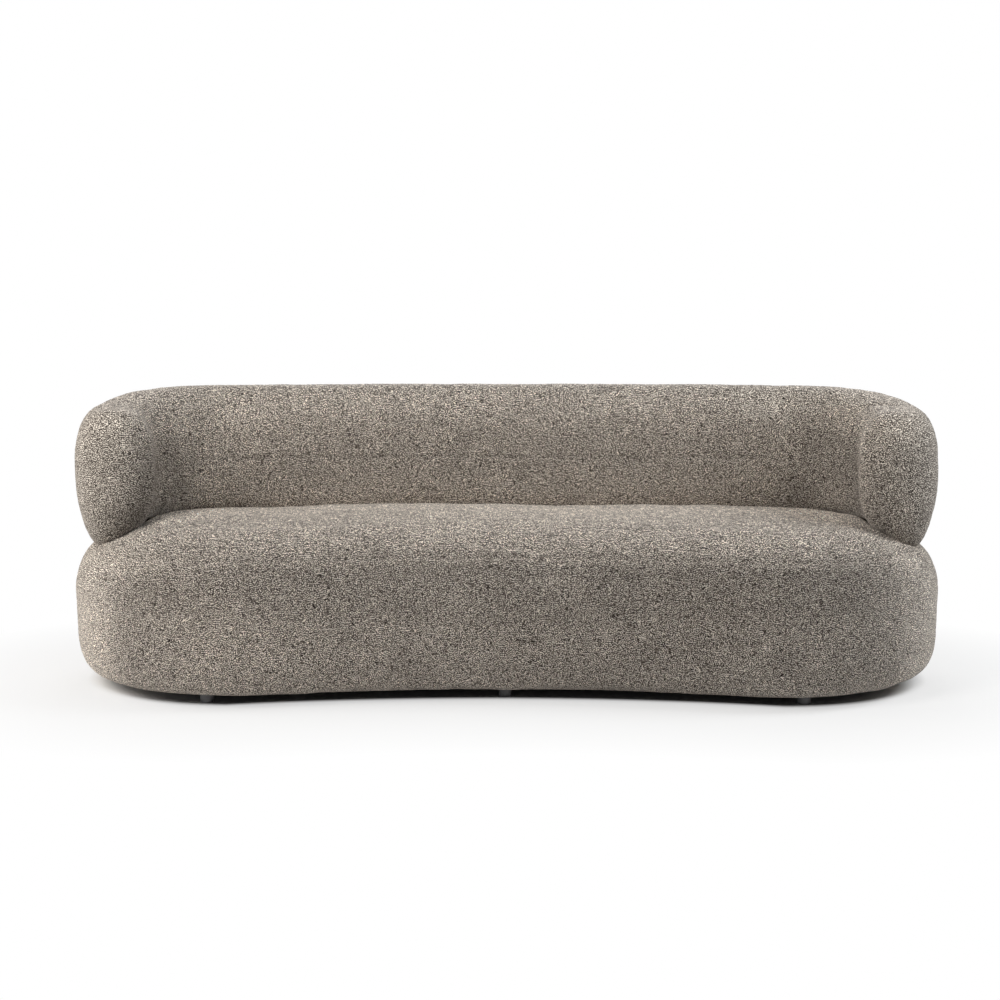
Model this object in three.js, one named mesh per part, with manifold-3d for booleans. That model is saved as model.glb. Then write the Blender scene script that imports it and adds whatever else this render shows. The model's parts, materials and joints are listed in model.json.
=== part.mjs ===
// A three-seat curved sofa in looped fabric, in millimetres. X runs along the sofa, the front
// faces -Y and Z is up. The origin is on the floor, under the middle of the bounding box.

import * as THREE from 'three';
import { mergeVertices } from 'three/addons/utils/BufferGeometryUtils.js';
import Module from 'manifold-3d';

const wasm = await Module();
wasm.setup();

// Plan of the sofa: a hollow front, a rounded end on each side and a gently bowed rear
const sofaWidth = 2400;
const endRadius = 457;
const frontHollow = 84;
const rearBow = 51;

// Seat, measured over the fabric
const seatUnderside = 34;
const seatCrest = 435;
const seatCrown = 28;
const topRollHeight = 158;
const topRollDepth = 187;
const topRollPower = 2.27;
const bottomRollHeight = 85;
const bottomRollDepth = 61;
const bottomRollPower = 2.2;
const sideLean = 2.5;
const crownStartShare = 0.4;

// Back, measured over the fabric on both sides of the line that its frame follows
const backHeight = 802;
const backInset = 98;
const backInnerHalf = 108;
const outerFootDraw = 57;
const innerFootDraw = 41;
const backRollHeight = 143;
const backRollPower = 2.33;
const ridgeHalf = 12;
const bellyShare = 0.85;
const noseAngle = 17.5 * Math.PI / 180;
const noseDrop = 33;
const noseDropReach = 399;

// Cloth, and the clearance that every piece keeps to the next
const coverThickness = 4;
const clearance = 0.3;
const overrun = 6;
const seatHemWidth = 46;
const backHemWidth = 25;
const underReach = 90;

// Seat frame
const boardThickness = 18;
const liningInset = 72;
const liningThickness = 3;
const baseRingWidth = 115;
const deckRingWidth = 75;
const seatFoamDepth = 140;
const feltThickness = 4;
const feltSetback = 8;
const bulkheadSpacing = 560;
const bulkheadSetback = 3;
const bulkheadWindowHeight = 110;
const bulkheadWindowWidth = 220;
const postSize = 45;
const postSetback = 4;
const postAngles = [-50, 20, 68];

// Webbing under the seat and behind the back foam
const webThickness = 2;
const seatWebWidth = 80;
const seatWebSpacing = 250;
const seatWebsEachSide = 3;
const webSetback = 6;
const longWebWidth = 60;
const longWebOffset = 130;
const webRun = 24;
const backWebWidthShare = 0.25;
const backWebShares = [0.3, 0.72];

// Dust cover and feet
const dustCoverInset = 85;
const dustCoverThickness = 1.5;
const footInset = 131;
const footEndInset = 400;
const rearFootEndInset = 440;
const footTopRadius = 20;
const footBottomRadius = 17;
const footEdge = 3.5;
const studRadius = 4;
const studFit = 0.4;
const studShortfall = 2.5;

// Back frame
const railHalf = 36;
const underPad = 10;
const topPad = 70;
const ribSpacing = 520;
const ribSetback = 3;
const ribAngles = [62, 15];
const ribWindowShare = 0.5;
const ribWindowHalf = 18;

// Bolts and spacer tubes that carry the back on the seat frame
const fixingInset = 110;
const fixingWebShare = 1.5;
const fixingAngles = [38, -6];
const spacerRadius = 15;
const boltRadius = 5;
const boltFit = 0.4;
const spacerFit = 0.5;
const boltHeadRadius = 12;
const boltHeadHeight = 7;
const nutRadius = 10;
const nutHeight = 9;
const boltEnd = 5;

// Steps of the curved faces
const cornerSteps = 7;
const backCornerSteps = 7;
const noseSteps = 6;
const frontSteps = 3;
const rearSteps = 4;
const backRearSteps = 3;
const outerDetail = { bottom: 3, top: 5, crownShares: [0.45, 0.9], tuck: 2, roll: 4 };
const innerDetail = { bottom: 2, top: 3, crownShares: [0.9], tuck: 2, roll: 2 };
const roundSteps = 8;
const footSteps = 12;

// Values that follow from the sizes above
const halfWidth = sofaWidth / 2;
const fixingSpacing = fixingWebShare * seatWebSpacing;
const footSpacing = halfWidth - footEndInset;
const rearFootSpacing = halfWidth - rearFootEndInset;
const sofaDepth = 2 * endRadius + rearBow;
const endX = halfWidth - endRadius;
const endY = endRadius - sofaDepth / 2;
const frontRadius = (endX ** 2 + frontHollow ** 2) / (2 * frontHollow) - endRadius;
const frontCentreY = frontHollow - sofaDepth / 2 - frontRadius;
const rearRadius = endRadius + (endX ** 2 + rearBow ** 2) / (2 * rearBow);
const rearCentreY = sofaDepth / 2 - rearRadius;
const quarter = Math.PI / 2;
const frontTurn = Math.atan2(endX, endY - frontCentreY);
const rearTurn = Math.atan2(endX, endY - rearCentreY);
const sideTop = seatCrest - topRollHeight;
const sideBottom = seatUnderside + bottomRollHeight;
const baseBottom = seatUnderside + coverThickness + clearance;
const baseTop = baseBottom + boardThickness;
const foamBottom = seatCrest - coverThickness - clearance - seatFoamDepth;
const feltBottom = foamBottom - clearance - feltThickness;
const webBottom = feltBottom - 2 * webThickness - 2 * clearance;
const deckTop = webBottom - clearance;
const deckBottom = deckTop - boardThickness;
const frameInset = liningInset + liningThickness + clearance;
const railBottom = seatTop(backInset + railHalf) + coverThickness + 2 * clearance + underPad;
const railTop = railBottom + boardThickness;
const backFrameReach = railHalf + clearance + liningThickness + clearance;
const topRailTop = backHeight - coverThickness - clearance - topPad;
const topRailBottom = topRailTop - boardThickness;
const backRoom = topRailBottom - railTop;
const footTop = seatUnderside - clearance - dustCoverThickness - clearance;

// Materials
const fabric = { color: 0x77706a, roughness: 0.95, metalness: 0 };
const foam = { color: 0xd9d2bd, roughness: 0.9, metalness: 0 };
const felt = { color: 0x8d8a84, roughness: 0.95, metalness: 0 };
const plywood = { color: 0xc9a878, roughness: 0.7, metalness: 0 };
const timber = { color: 0xc6a272, roughness: 0.75, metalness: 0 };
const hardboard = { color: 0x8a6445, roughness: 0.8, metalness: 0 };
const webbing = { color: 0x3b3a38, roughness: 0.85, metalness: 0 };
const dustCloth = { color: 0x161616, roughness: 0.95, metalness: 0 };
const footPlastic = { color: 0x3c3d40, roughness: 0.55, metalness: 0 };
const steel = { color: 0xa9adb0, roughness: 0.4, metalness: 1 };

const sofa = new THREE.Group();

function addPiece(name, geometry, finish) {
  const mesh = new THREE.Mesh(geometry, new THREE.MeshStandardMaterial(finish));
  mesh.name = name;
  sofa.add(mesh);
}

// Height of the seat's upper face at a distance in from the outline
function seatTop(inset) {
  const across = Math.max(0, 1 - inset / topRollDepth);
  const rise = (1 - across ** topRollPower) ** (1 / topRollPower);
  return seatCrest - topRollHeight * (1 - rise) + crownRise(inset);
}

function crownRise(inset) {
  const start = crownStartShare * topRollDepth;
  const share = THREE.MathUtils.clamp((inset - start) / (endRadius - start), 0, 1);
  return seatCrown * Math.sin(quarter * share);
}

// Distance of a point of the plan from the outline, for the right half
function insetAt(x, y) {
  const angle = Math.atan2(y - endY, x - endX);
  if (angle > quarter - rearTurn) return rearRadius - Math.hypot(x, y - rearCentreY);
  if (angle < -quarter - frontTurn) return Math.hypot(x, y - frontCentreY) - frontRadius;
  return endRadius - Math.hypot(x - endX, y - endY);
}

// Places on an inset of the outline: by x along the front and the rear, by angle round an end
function frontPoint(x, inset) {
  const reach = Math.abs(x);
  const joint = (frontRadius + inset) * Math.sin(frontTurn);
  if (reach < joint) return frontCentreY + Math.sqrt((frontRadius + inset) ** 2 - reach ** 2);
  return endY - Math.sqrt((endRadius - inset) ** 2 - (reach - endX) ** 2);
}

function rearPoint(x, inset) {
  const reach = Math.abs(x);
  const joint = (rearRadius - inset) * Math.sin(rearTurn);
  if (reach < joint) return rearCentreY + Math.sqrt((rearRadius - inset) ** 2 - reach ** 2);
  return endY + Math.sqrt((endRadius - inset) ** 2 - (reach - endX) ** 2);
}

function endPoint(degrees, inset) {
  const angle = THREE.MathUtils.degToRad(degrees);
  const radius = endRadius - inset;
  return { x: endX + radius * Math.cos(angle), y: endY + radius * Math.sin(angle), angle };
}

// Stations along one arc of the plan, each with the direction out of the sofa
function arcStations(centreX, centreY, radius, from, to, steps, hollow = 1) {
  return Array.from({ length: steps + 1 }, (_, i) => {
    const angle = THREE.MathUtils.lerp(from, to, i / steps);
    const [outX, outY] = [hollow * Math.cos(angle), hollow * Math.sin(angle)];
    return { x: centreX + radius * Math.cos(angle), y: centreY + radius * Math.sin(angle), outX, outY };
  });
}

function joinArcs(...arcs) {
  return arcs.flatMap((arc, i) => (i === 0 ? arc : arc.slice(1)));
}

// The right half of the seat's outline, from the middle of the front to the middle of the rear
const seatStations = joinArcs(
  arcStations(0, frontCentreY, frontRadius, quarter, quarter - frontTurn, frontSteps, -1),
  arcStations(endX, endY, endRadius, -quarter - frontTurn, -quarter, 1),
  arcStations(endX, endY, endRadius, -quarter, 0, cornerSteps),
  arcStations(endX, endY, endRadius, 0, quarter - rearTurn, cornerSteps),
  arcStations(0, rearCentreY, rearRadius, quarter - rearTurn, quarter, rearSteps),
);

// The back's line, and the loop round it: the sitting side, the nose and the outer side
const pathEndRadius = endRadius - backInset;
const pathRearRadius = rearRadius - backInset;
const rearArc = arcStations(0, rearCentreY, pathRearRadius, quarter, quarter - rearTurn, backRearSteps);
const endArc = arcStations(endX, endY, pathEndRadius, quarter - rearTurn, -noseAngle, backCornerSteps);
const outerSide = joinArcs(rearArc, endArc);
const noseCentre = outerSide[outerSide.length - 1];
const backStations = makeBackStations();

function makeBackStations() {
  let along = 0;
  const outer = outerSide.toReversed().map((station, i, all) => {
    const last = all[Math.max(0, i - 1)];
    along += Math.hypot(station.x - last.x, station.y - last.y);
    return { ...station, inner: 0, along };
  });
  const inner = outer.toReversed().map((s) => ({ ...s, outX: -s.outX, outY: -s.outY, inner: 1 }));
  const nose = Array.from({ length: noseSteps - 1 }, (_, i) => {
    const turn = Math.PI * (1 - (i + 1) / noseSteps);
    const angle = -noseAngle - turn;
    const share = (1 - Math.cos(turn)) / 2;
    return { ...noseCentre, outX: Math.cos(angle), outY: Math.sin(angle), inner: share, along: 0 };
  });
  return [...inner, ...nose, ...outer];
}

function ridgeDrop(along) {
  const near = THREE.MathUtils.clamp(1 - along / noseDropReach, 0, 1);
  return noseDrop * THREE.MathUtils.smoothstep(near, 0, 1);
}

// Loops round the sofa, given as their right halves
function seatLoop(inset, z) {
  return seatStations.map((s) => [s.x - s.outX * inset, s.y - s.outY * inset, z]);
}

function backLoop(outerReach, innerReach, heightOf) {
  return backStations.map((s, i) => {
    const reach = THREE.MathUtils.lerp(outerReach, innerReach, s.inner);
    return [s.x + s.outX * reach, s.y + s.outY * reach, heightOf(s, i)];
  });
}

// A skin through loops that are mirrored to the left, either closed on itself or capped
function loftGeometry(loops, ring = false) {
  const half = loops[0].length - 1;
  const count = 2 * half;
  const positions = [];
  for (const loop of loops) {
    const mirrored = loop.slice(1, -1).toReversed().map(([x, y, z]) => [-x, y, z]);
    positions.push(...loop.flat(), ...mirrored.flat());
  }
  const index = [];
  const strips = ring ? loops.length : loops.length - 1;
  for (let j = 0; j < strips; j++) {
    const low = j * count;
    const high = ((j + 1) % loops.length) * count;
    for (let i = 0; i < count; i++) {
      const next = (i + 1) % count;
      index.push(low + i, low + next, high + next, low + i, high + next, high + i);
    }
  }
  if (!ring) {
    addCap(index, 0, half, true);
    addCap(index, (loops.length - 1) * count, half, false);
  }
  return indexedGeometry(positions, index);
}

function addCap(index, first, half, facesDown) {
  const mirrored = (i) => (2 * half - i) % (2 * half);
  const addTriangle = (a, b, c, turned) => {
    if (a === b || b === c) return;
    index.push(first + a, first + (turned ? c : b), first + (turned ? b : c));
  };
  for (let k = 0; k < half / 2; k++) {
    const corners = [k, k + 1, half - k - 1, half - k];
    const [a, b, c, d] = corners;
    addTriangle(a, b, c, facesDown);
    addTriangle(a, c, d, facesDown);
    const [p, q, r, s] = corners.map(mirrored);
    addTriangle(p, q, r, !facesDown);
    addTriangle(p, r, s, !facesDown);
  }
}

function indexedGeometry(positions, index) {
  const geometry = new THREE.BufferGeometry();
  geometry.setAttribute('position', new THREE.Float32BufferAttribute(positions, 3));
  geometry.setIndex(index);
  geometry.computeVertexNormals();
  return geometry;
}

// Cutting and joining of closed solids
function toSolid(geometry) {
  const bare = geometry.clone();
  bare.deleteAttribute('normal');
  bare.deleteAttribute('uv');
  const merged = mergeVertices(bare);
  const vertProperties = Float32Array.from(merged.attributes.position.array);
  const triVerts = Uint32Array.from(merged.index.array);
  return new wasm.Manifold(new wasm.Mesh({ numProp: 3, vertProperties, triVerts }));
}

function toGeometry(solid) {
  const { vertProperties, triVerts } = solid.getMesh();
  return indexedGeometry([...vertProperties], [...triVerts]);
}

function cut(geometry, ...tools) {
  const solid = tools.reduce((rest, tool) => rest.subtract(toSolid(tool)), toSolid(geometry));
  return toGeometry(solid);
}

function keepInside(geometry, tool) {
  return toGeometry(toSolid(geometry).intersect(toSolid(tool)));
}

// A block over the whole plan, from one height up to well above the sofa
function spaceAbove(z) {
  const height = backHeight;
  const block = new THREE.BoxGeometry(2 * sofaWidth, 2 * sofaDepth, height);
  return block.translate(0, 0, z + height / 2);
}

// Plates and bands that follow the seat's outline
function seatPlate(inset, bottom, top) {
  return loftGeometry([seatLoop(inset, bottom), seatLoop(inset, top)]);
}

function seatRing(outerInset, innerInset, bottom, top) {
  const loops = [seatLoop(outerInset, bottom), seatLoop(outerInset, top),
    seatLoop(innerInset, top), seatLoop(innerInset, bottom)];
  return loftGeometry(loops, true);
}

function backPlate(outerReach, innerReach, bottom, top) {
  return loftGeometry([bottom, top].map((z) => backLoop(outerReach, innerReach, () => z)));
}

// The seat's whole body, grown or shrunk evenly by an inset
function seatBody(inset, detail) {
  const loops = [];
  for (let i = 0; i <= detail.bottom; i++) {
    const angle = quarter * i / detail.bottom;
    const outward = Math.sin(angle) ** (2 / bottomRollPower);
    const down = Math.cos(angle) ** (2 / bottomRollPower);
    const reach = inset + sideLean + (bottomRollDepth - inset) * (1 - outward);
    loops.push(seatLoop(reach, sideBottom - (bottomRollHeight - inset) * down));
  }
  for (let i = 0; i <= detail.top; i++) {
    const angle = quarter * i / detail.top;
    const outward = Math.max(0, Math.cos(angle)) ** (2 / topRollPower);
    const up = Math.sin(angle) ** (2 / topRollPower);
    const reach = inset + (topRollDepth - inset) * (1 - outward);
    loops.push(seatLoop(reach, sideTop + (topRollHeight - inset) * up + crownRise(reach)));
  }
  for (const share of detail.crownShares) {
    const reach = THREE.MathUtils.lerp(topRollDepth, endRadius, share);
    loops.push(seatLoop(reach, seatCrest - inset + crownRise(reach)));
  }
  return loftGeometry(loops);
}

// The back's whole body, drawn in at its foot and rounded over its ridge and noses
const footHeights = backLoop(backInset - outerFootDraw, backInnerHalf - innerFootDraw, () => 0)
  .map(([x, y]) => seatTop(insetAt(x, y)));

function backBody(inset, detail) {
  const outerHalf = backInset - inset;
  const innerHalf = backInnerHalf - inset;
  const rollStart = (s) => backHeight - backRollHeight - ridgeDrop(s.along);
  const outerFoot = outerHalf - outerFootDraw;
  const innerFoot = innerHalf - innerFootDraw;
  const loops = [backLoop(outerFoot, innerFoot, (s, i) => footHeights[i] - underReach)];
  for (let i = 0; i <= detail.tuck; i++) {
    const angle = quarter * i / detail.tuck;
    const drawn = 1 - Math.sin(angle);
    const rise = bellyShare * (1 - Math.cos(angle));
    const height = (s, k) => THREE.MathUtils.lerp(footHeights[k], rollStart(s), rise);
    loops.push(backLoop(outerHalf - outerFootDraw * drawn, innerHalf - innerFootDraw * drawn, height));
  }
  for (let i = 0; i <= detail.roll; i++) {
    const angle = quarter * i / detail.roll;
    const out = Math.max(0, Math.cos(angle)) ** (2 / backRollPower);
    const up = (backRollHeight - inset) * Math.sin(angle) ** (2 / backRollPower);
    const reaches = [outerHalf, innerHalf].map((half) => THREE.MathUtils.lerp(ridgeHalf, half, out));
    loops.push(backLoop(...reaches, (s) => rollStart(s) + up));
  }
  return loftGeometry(loops);
}

// An upright cylinder between two heights
function uprightCylinder(x, y, radius, bottom, top, steps = roundSteps) {
  const cylinder = new THREE.CylinderGeometry(radius, radius, top - bottom, steps);
  return cylinder.rotateX(quarter).translate(x, y, (bottom + top) / 2);
}

// A turned piece, given as radius and height pairs from its foot to its top
function turnedPiece(pairs, steps) {
  const profile = pairs.map(([radius, height]) => new THREE.Vector2(radius, height));
  return new THREE.LatheGeometry(profile, steps).rotateX(quarter);
}

// Where the back is bolted down, and where the feet stand
const fixingPlaces = bothSides([
  { x: fixingSpacing, y: rearPoint(fixingSpacing, fixingInset) },
  ...fixingAngles.map((degrees) => endPoint(degrees, fixingInset)),
]);
const footPlaces = {
  foot_front_left: { x: -footSpacing, y: frontPoint(footSpacing, footInset) },
  foot_front_middle: { x: 0, y: frontPoint(0, footInset) },
  foot_front_right: { x: footSpacing, y: frontPoint(footSpacing, footInset) },
  foot_rear_left: { x: -rearFootSpacing, y: rearPoint(rearFootSpacing, footInset) },
  foot_rear_middle: { x: 0, y: rearPoint(0, footInset) },
  foot_rear_right: { x: rearFootSpacing, y: rearPoint(rearFootSpacing, footInset) },
};

function bothSides(places) {
  return places.flatMap((place) => [{ ...place, x: -place.x, angle: Math.PI - place.angle }, place]);
}

function holesAt(places, radius, bottom, top) {
  return Object.values(places)
    .map(({ x, y }) => uprightCylinder(x, y, radius, bottom - overrun, top + overrun));
}

// Seat cover: a fabric shell with its hem turned in under the base ring
function seatCover() {
  const hemEdge = sideLean + bottomRollDepth + seatHemWidth;
  const mouth = seatPlate(hemEdge, seatUnderside - overrun, seatUnderside + coverThickness + overrun);
  const holes = holesAt(fixingPlaces, spacerRadius + spacerFit, sideTop, seatCrest + seatCrown);
  return cut(seatBody(0, outerDetail), seatBody(coverThickness, innerDetail), mouth, ...holes);
}

// Seat foam: the crowned block that lies on the felt
function seatFoam() {
  const filling = seatBody(coverThickness + clearance, innerDetail);
  const holes = holesAt(fixingPlaces, spacerRadius + spacerFit, foamBottom, seatCrest + seatCrown);
  return cut(keepInside(filling, spaceAbove(foamBottom)), ...holes);
}

// Edge foam: the ring glued round the frame under the seat foam
function edgeFoam() {
  const filling = seatBody(coverThickness + clearance, innerDetail);
  const frameSpace = seatPlate(liningInset - clearance, baseBottom - overrun, foamBottom);
  return cut(filling, spaceAbove(foamBottom - clearance), frameSpace);
}

function seatFelt() {
  const plate = seatPlate(frameInset + feltSetback, feltBottom, feltBottom + feltThickness);
  const holes = holesAt(fixingPlaces, spacerRadius + spacerFit, feltBottom, foamBottom);
  return cut(plate, ...holes);
}

function deckRing() {
  const ring = seatRing(frameInset, frameInset + deckRingWidth, deckBottom, deckTop);
  return cut(ring, ...holesAt(fixingPlaces, boltRadius + boltFit, deckBottom, deckTop));
}

function baseRing() {
  const ring = seatRing(frameInset, frameInset + baseRingWidth, baseBottom, baseTop);
  return cut(ring, ...holesAt(footPlaces, studRadius + studFit, baseBottom, baseTop));
}

function dustCover() {
  const bottom = footTop + clearance;
  const plate = seatPlate(dustCoverInset, bottom, bottom + dustCoverThickness);
  return cut(plate, ...holesAt(footPlaces, studRadius + studFit, bottom, bottom));
}

// Upright board from front to rear, with a rounded window on each side of its middle
function bulkhead(x) {
  const edges = [x - boardThickness / 2, x + boardThickness / 2];
  const front = Math.max(...edges.map((edge) => frontPoint(edge, frameInset + bulkheadSetback)));
  const rear = Math.min(...edges.map((edge) => rearPoint(edge, frameInset + bulkheadSetback)));
  const [bottom, top] = [baseTop + clearance, deckBottom - clearance];
  const board = new THREE.Shape();
  board.moveTo(front, bottom).lineTo(rear, bottom).lineTo(rear, top).lineTo(front, top).closePath();
  for (const share of [-1, 1]) {
    const middle = (front + rear) / 2 + share * (rear - front) / 4;
    const window = new THREE.Path();
    const [halfAcross, halfUp] = [bulkheadWindowWidth / 2, bulkheadWindowHeight / 2];
    window.absellipse(middle, (bottom + top) / 2, halfAcross, halfUp, 0, 2 * Math.PI, true);
    board.holes.push(window);
  }
  const geometry = new THREE.ExtrudeGeometry(board, {
    depth: boardThickness, bevelEnabled: false, curveSegments: roundSteps });
  return geometry.rotateX(quarter).rotateZ(quarter).translate(x - boardThickness / 2, 0, 0);
}

function post({ x, y, angle }) {
  const height = deckBottom - baseTop - 2 * clearance;
  const block = new THREE.BoxGeometry(postSize, postSize, height);
  return block.rotateZ(angle).translate(x, y, baseTop + clearance + height / 2);
}

// Seat webbing from front to rear, flat on the deck ring
function seatWeb(x) {
  const edges = [x - seatWebWidth / 2, x + seatWebWidth / 2];
  const front = Math.max(...edges.map((edge) => frontPoint(edge, frameInset + webSetback)));
  const rear = Math.min(...edges.map((edge) => rearPoint(edge, frameInset + webSetback)));
  const band = new THREE.BoxGeometry(seatWebWidth, rear - front, webThickness);
  return band.translate(x, (front + rear) / 2, webBottom + webThickness / 2);
}

// Lengthwise webbing, woven over one seat web and under the next
function longWeb(y, firstIsOver) {
  const edges = [y - longWebWidth / 2, y + longWebWidth / 2];
  const inset = endRadius - frameInset - webSetback;
  const reach = endX + Math.min(...edges.map((edge) => Math.sqrt(inset ** 2 - (edge - endY) ** 2)));
  const step = webThickness + clearance;
  const underside = [];
  for (let i = -seatWebsEachSide; i <= seatWebsEachSide; i++) {
    const over = (i % 2 === 0) === firstIsOver;
    const z = webBottom + (over ? step : -step);
    const flat = seatWebWidth / 2 + clearance;
    underside.push([i * seatWebSpacing - flat, z], [i * seatWebSpacing + flat, z]);
  }
  const turn = underside[underside.length - 1][0] + webRun;
  const points = [[-reach, webBottom], [-turn, webBottom], ...underside,
    [turn, webBottom], [reach, webBottom]];
  const outline = new THREE.Shape();
  outline.moveTo(...points[0]);
  points.slice(1).forEach((point) => outline.lineTo(...point));
  points.toReversed().forEach(([x, z]) => outline.lineTo(x, z + webThickness));
  const geometry = new THREE.ExtrudeGeometry(outline, { depth: longWebWidth, bevelEnabled: false });
  return geometry.rotateX(quarter).translate(0, y + longWebWidth / 2, 0);
}

// Foot: a tapered round foot with a rounded lower edge and its threaded stud
function foot({ x, y }) {
  const studTop = baseTop - studShortfall;
  const profile = [[0, 0], [footBottomRadius - footEdge, 0], [footBottomRadius, footEdge],
    [footTopRadius, footTop], [studRadius, footTop], [studRadius, studTop], [0, studTop]];
  return turnedPiece(profile, footSteps).translate(x, y, 0);
}

// Back cover: a fabric shell whose hem is turned in on the seat
function backCover() {
  const hollow = cut(backBody(coverThickness, innerDetail), seatBody(-clearance - coverThickness, outerDetail));
  const mouth = backPlate(backInset - outerFootDraw - backHemWidth,
    backInnerHalf - innerFootDraw - backHemWidth, sideTop, railBottom + overrun);
  return cut(backBody(0, outerDetail), seatBody(-clearance, outerDetail), hollow, mouth);
}

// Back foam: wraps both faces and the noses of the frame, and pads its underside
function backFoam() {
  const filling = backBody(coverThickness + clearance, innerDetail);
  const frameSpace = backPlate(backFrameReach, backFrameReach, railBottom - clearance, backHeight);
  const seat = seatBody(-2 * clearance - coverThickness, outerDetail);
  const holes = holesAt(fixingPlaces, spacerRadius + spacerFit, sideTop, railBottom);
  return cut(filling, seat, spaceAbove(topRailTop), frameSpace, ...holes);
}

function backTopFoam() {
  const filling = backBody(coverThickness + clearance, innerDetail);
  return keepInside(filling, spaceAbove(topRailTop + clearance));
}

function lowerRail() {
  const rail = backPlate(railHalf, railHalf, railBottom, railTop);
  return cut(rail, ...holesAt(fixingPlaces, boltRadius + boltFit, railBottom, railTop));
}

// A plywood former across the back's line, with a rounded window
function rib({ x, y, angle }) {
  const [bottom, top] = [railTop + clearance, topRailBottom - clearance];
  const board = new THREE.Shape();
  const outerEdge = railHalf - ribSetback;
  board.moveTo(-railHalf, bottom).lineTo(outerEdge, bottom).lineTo(outerEdge, top)
    .lineTo(-railHalf, top).closePath();
  const window = new THREE.Path();
  const halfUp = ribWindowShare * backRoom / 2;
  window.absellipse(0, (bottom + top) / 2, ribWindowHalf, halfUp, 0, 2 * Math.PI, true);
  board.holes.push(window);
  const geometry = new THREE.ExtrudeGeometry(board, {
    depth: boardThickness, bevelEnabled: false, curveSegments: roundSteps });
  return geometry.rotateX(quarter).translate(0, boardThickness / 2, 0).rotateZ(angle)
    .translate(x, y, 0);
}

// A flat band that follows the back's line from one wing to the other
function backBand(innerReach, outerReach, bottom, top) {
  const right = outerSide.map((s) => [innerReach, outerReach]
    .map((reach) => [s.x + s.outX * reach, s.y + s.outY * reach]));
  const left = right.slice(1).map((pair) => pair.map(([x, y]) => [-x, y]));
  const pairs = [...left.toReversed(), ...right];
  const positions = pairs.flatMap(([[ax, ay], [bx, by]]) => [
    ax, ay, bottom, bx, by, bottom, bx, by, top, ax, ay, top]);
  const index = [];
  for (let j = 0; j < pairs.length - 1; j++) {
    for (let i = 0; i < 4; i++) {
      const [low, next] = [4 * j + i, 4 * j + (i + 1) % 4];
      index.push(low, next, low + 4, next, next + 4, low + 4);
    }
  }
  const last = positions.length / 3 - 4;
  index.push(0, 2, 1, 0, 3, 2, last, last + 1, last + 2, last, last + 2, last + 3);
  return indexedGeometry(positions, index);
}

function backWeb(share) {
  const middle = railTop + share * backRoom;
  const halfUp = backWebWidthShare * backRoom / 2;
  const near = -railHalf - clearance;
  return backBand(near - webThickness, near, middle - halfUp, middle + halfUp);
}

function spacer({ x, y }) {
  const [bottom, top] = [deckTop + clearance, railBottom - clearance];
  const bore = boltRadius + boltFit;
  const profile = [[bore, bottom], [spacerRadius, bottom], [spacerRadius, top], [bore, top], [bore, bottom]];
  return turnedPiece(profile, roundSteps).translate(x, y, 0);
}

// Bolt with its head under the deck ring and its nut on the back's lower rail
function bolt({ x, y }) {
  const headTop = deckBottom - clearance;
  const headBottom = headTop - boltHeadHeight;
  const nutBottom = railTop + clearance;
  const nutTop = nutBottom + nutHeight;
  const profile = [[0, headBottom], [boltHeadRadius, headBottom], [boltHeadRadius, headTop],
    [boltRadius, headTop], [boltRadius, nutBottom], [nutRadius, nutBottom], [nutRadius, nutTop],
    [boltRadius, nutTop], [boltRadius, nutTop + boltEnd], [0, nutTop + boltEnd]];
  return turnedPiece(profile, roundSteps).translate(x, y, 0);
}

// Seat
addPiece('seat_cover', seatCover(), fabric);
addPiece('seat_foam', seatFoam(), foam);
addPiece('edge_foam', edgeFoam(), foam);
addPiece('seat_felt', seatFelt(), felt);
for (let i = -seatWebsEachSide; i <= seatWebsEachSide; i++) {
  addPiece(`seat_web_${i + seatWebsEachSide + 1}`, seatWeb(i * seatWebSpacing), webbing);
}
addPiece('long_web_front', longWeb(-longWebOffset, true), webbing);
addPiece('long_web_rear', longWeb(longWebOffset, false), webbing);
addPiece('deck_ring', deckRing(), plywood);
addPiece('base_ring', baseRing(), plywood);
addPiece('side_lining', seatRing(liningInset, liningInset + liningThickness, baseBottom, deckTop), hardboard);
addPiece('bulkhead_left', bulkhead(-bulkheadSpacing), plywood);
addPiece('bulkhead_middle', bulkhead(0), plywood);
addPiece('bulkhead_right', bulkhead(bulkheadSpacing), plywood);
const postInset = frameInset + postSetback + postSize / 2;
bothSides(postAngles.map((degrees) => endPoint(degrees, postInset)))
  .forEach((place, i) => addPiece(`post_${i + 1}`, post(place), timber));
addPiece('dust_cover', dustCover(), dustCloth);
for (const [name, place] of Object.entries(footPlaces)) addPiece(name, foot(place), footPlastic);

// Back
addPiece('back_cover', backCover(), fabric);
addPiece('back_foam', backFoam(), foam);
addPiece('back_top_foam', backTopFoam(), foam);
addPiece('back_lower_rail', lowerRail(), plywood);
addPiece('back_upper_rail', backPlate(railHalf, railHalf, topRailBottom, topRailTop), plywood);
const ribPlaces = [
  { x: 0, y: rearPoint(0, backInset), angle: quarter },
  ...bothSides([
    { x: ribSpacing, y: rearPoint(ribSpacing, backInset),
      angle: quarter - Math.asin(ribSpacing / pathRearRadius) },
    ...ribAngles.map((degrees) => endPoint(degrees, backInset)),
  ]),
];
ribPlaces.forEach((place, i) => addPiece(`back_rib_${i + 1}`, rib(place), plywood));
const liningNear = railHalf + clearance;
addPiece('back_lining', backBand(liningNear, liningNear + liningThickness, railBottom, topRailTop), hardboard);
addPiece('back_web_lower', backWeb(backWebShares[0]), webbing);
addPiece('back_web_upper', backWeb(backWebShares[1]), webbing);

// Fixings between the seat frame and the back frame
fixingPlaces.forEach((place, i) => {
  addPiece(`back_spacer_${i + 1}`, spacer(place), steel);
  addPiece(`back_bolt_${i + 1}`, bolt(place), steel);
});

export default sofa;
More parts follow.
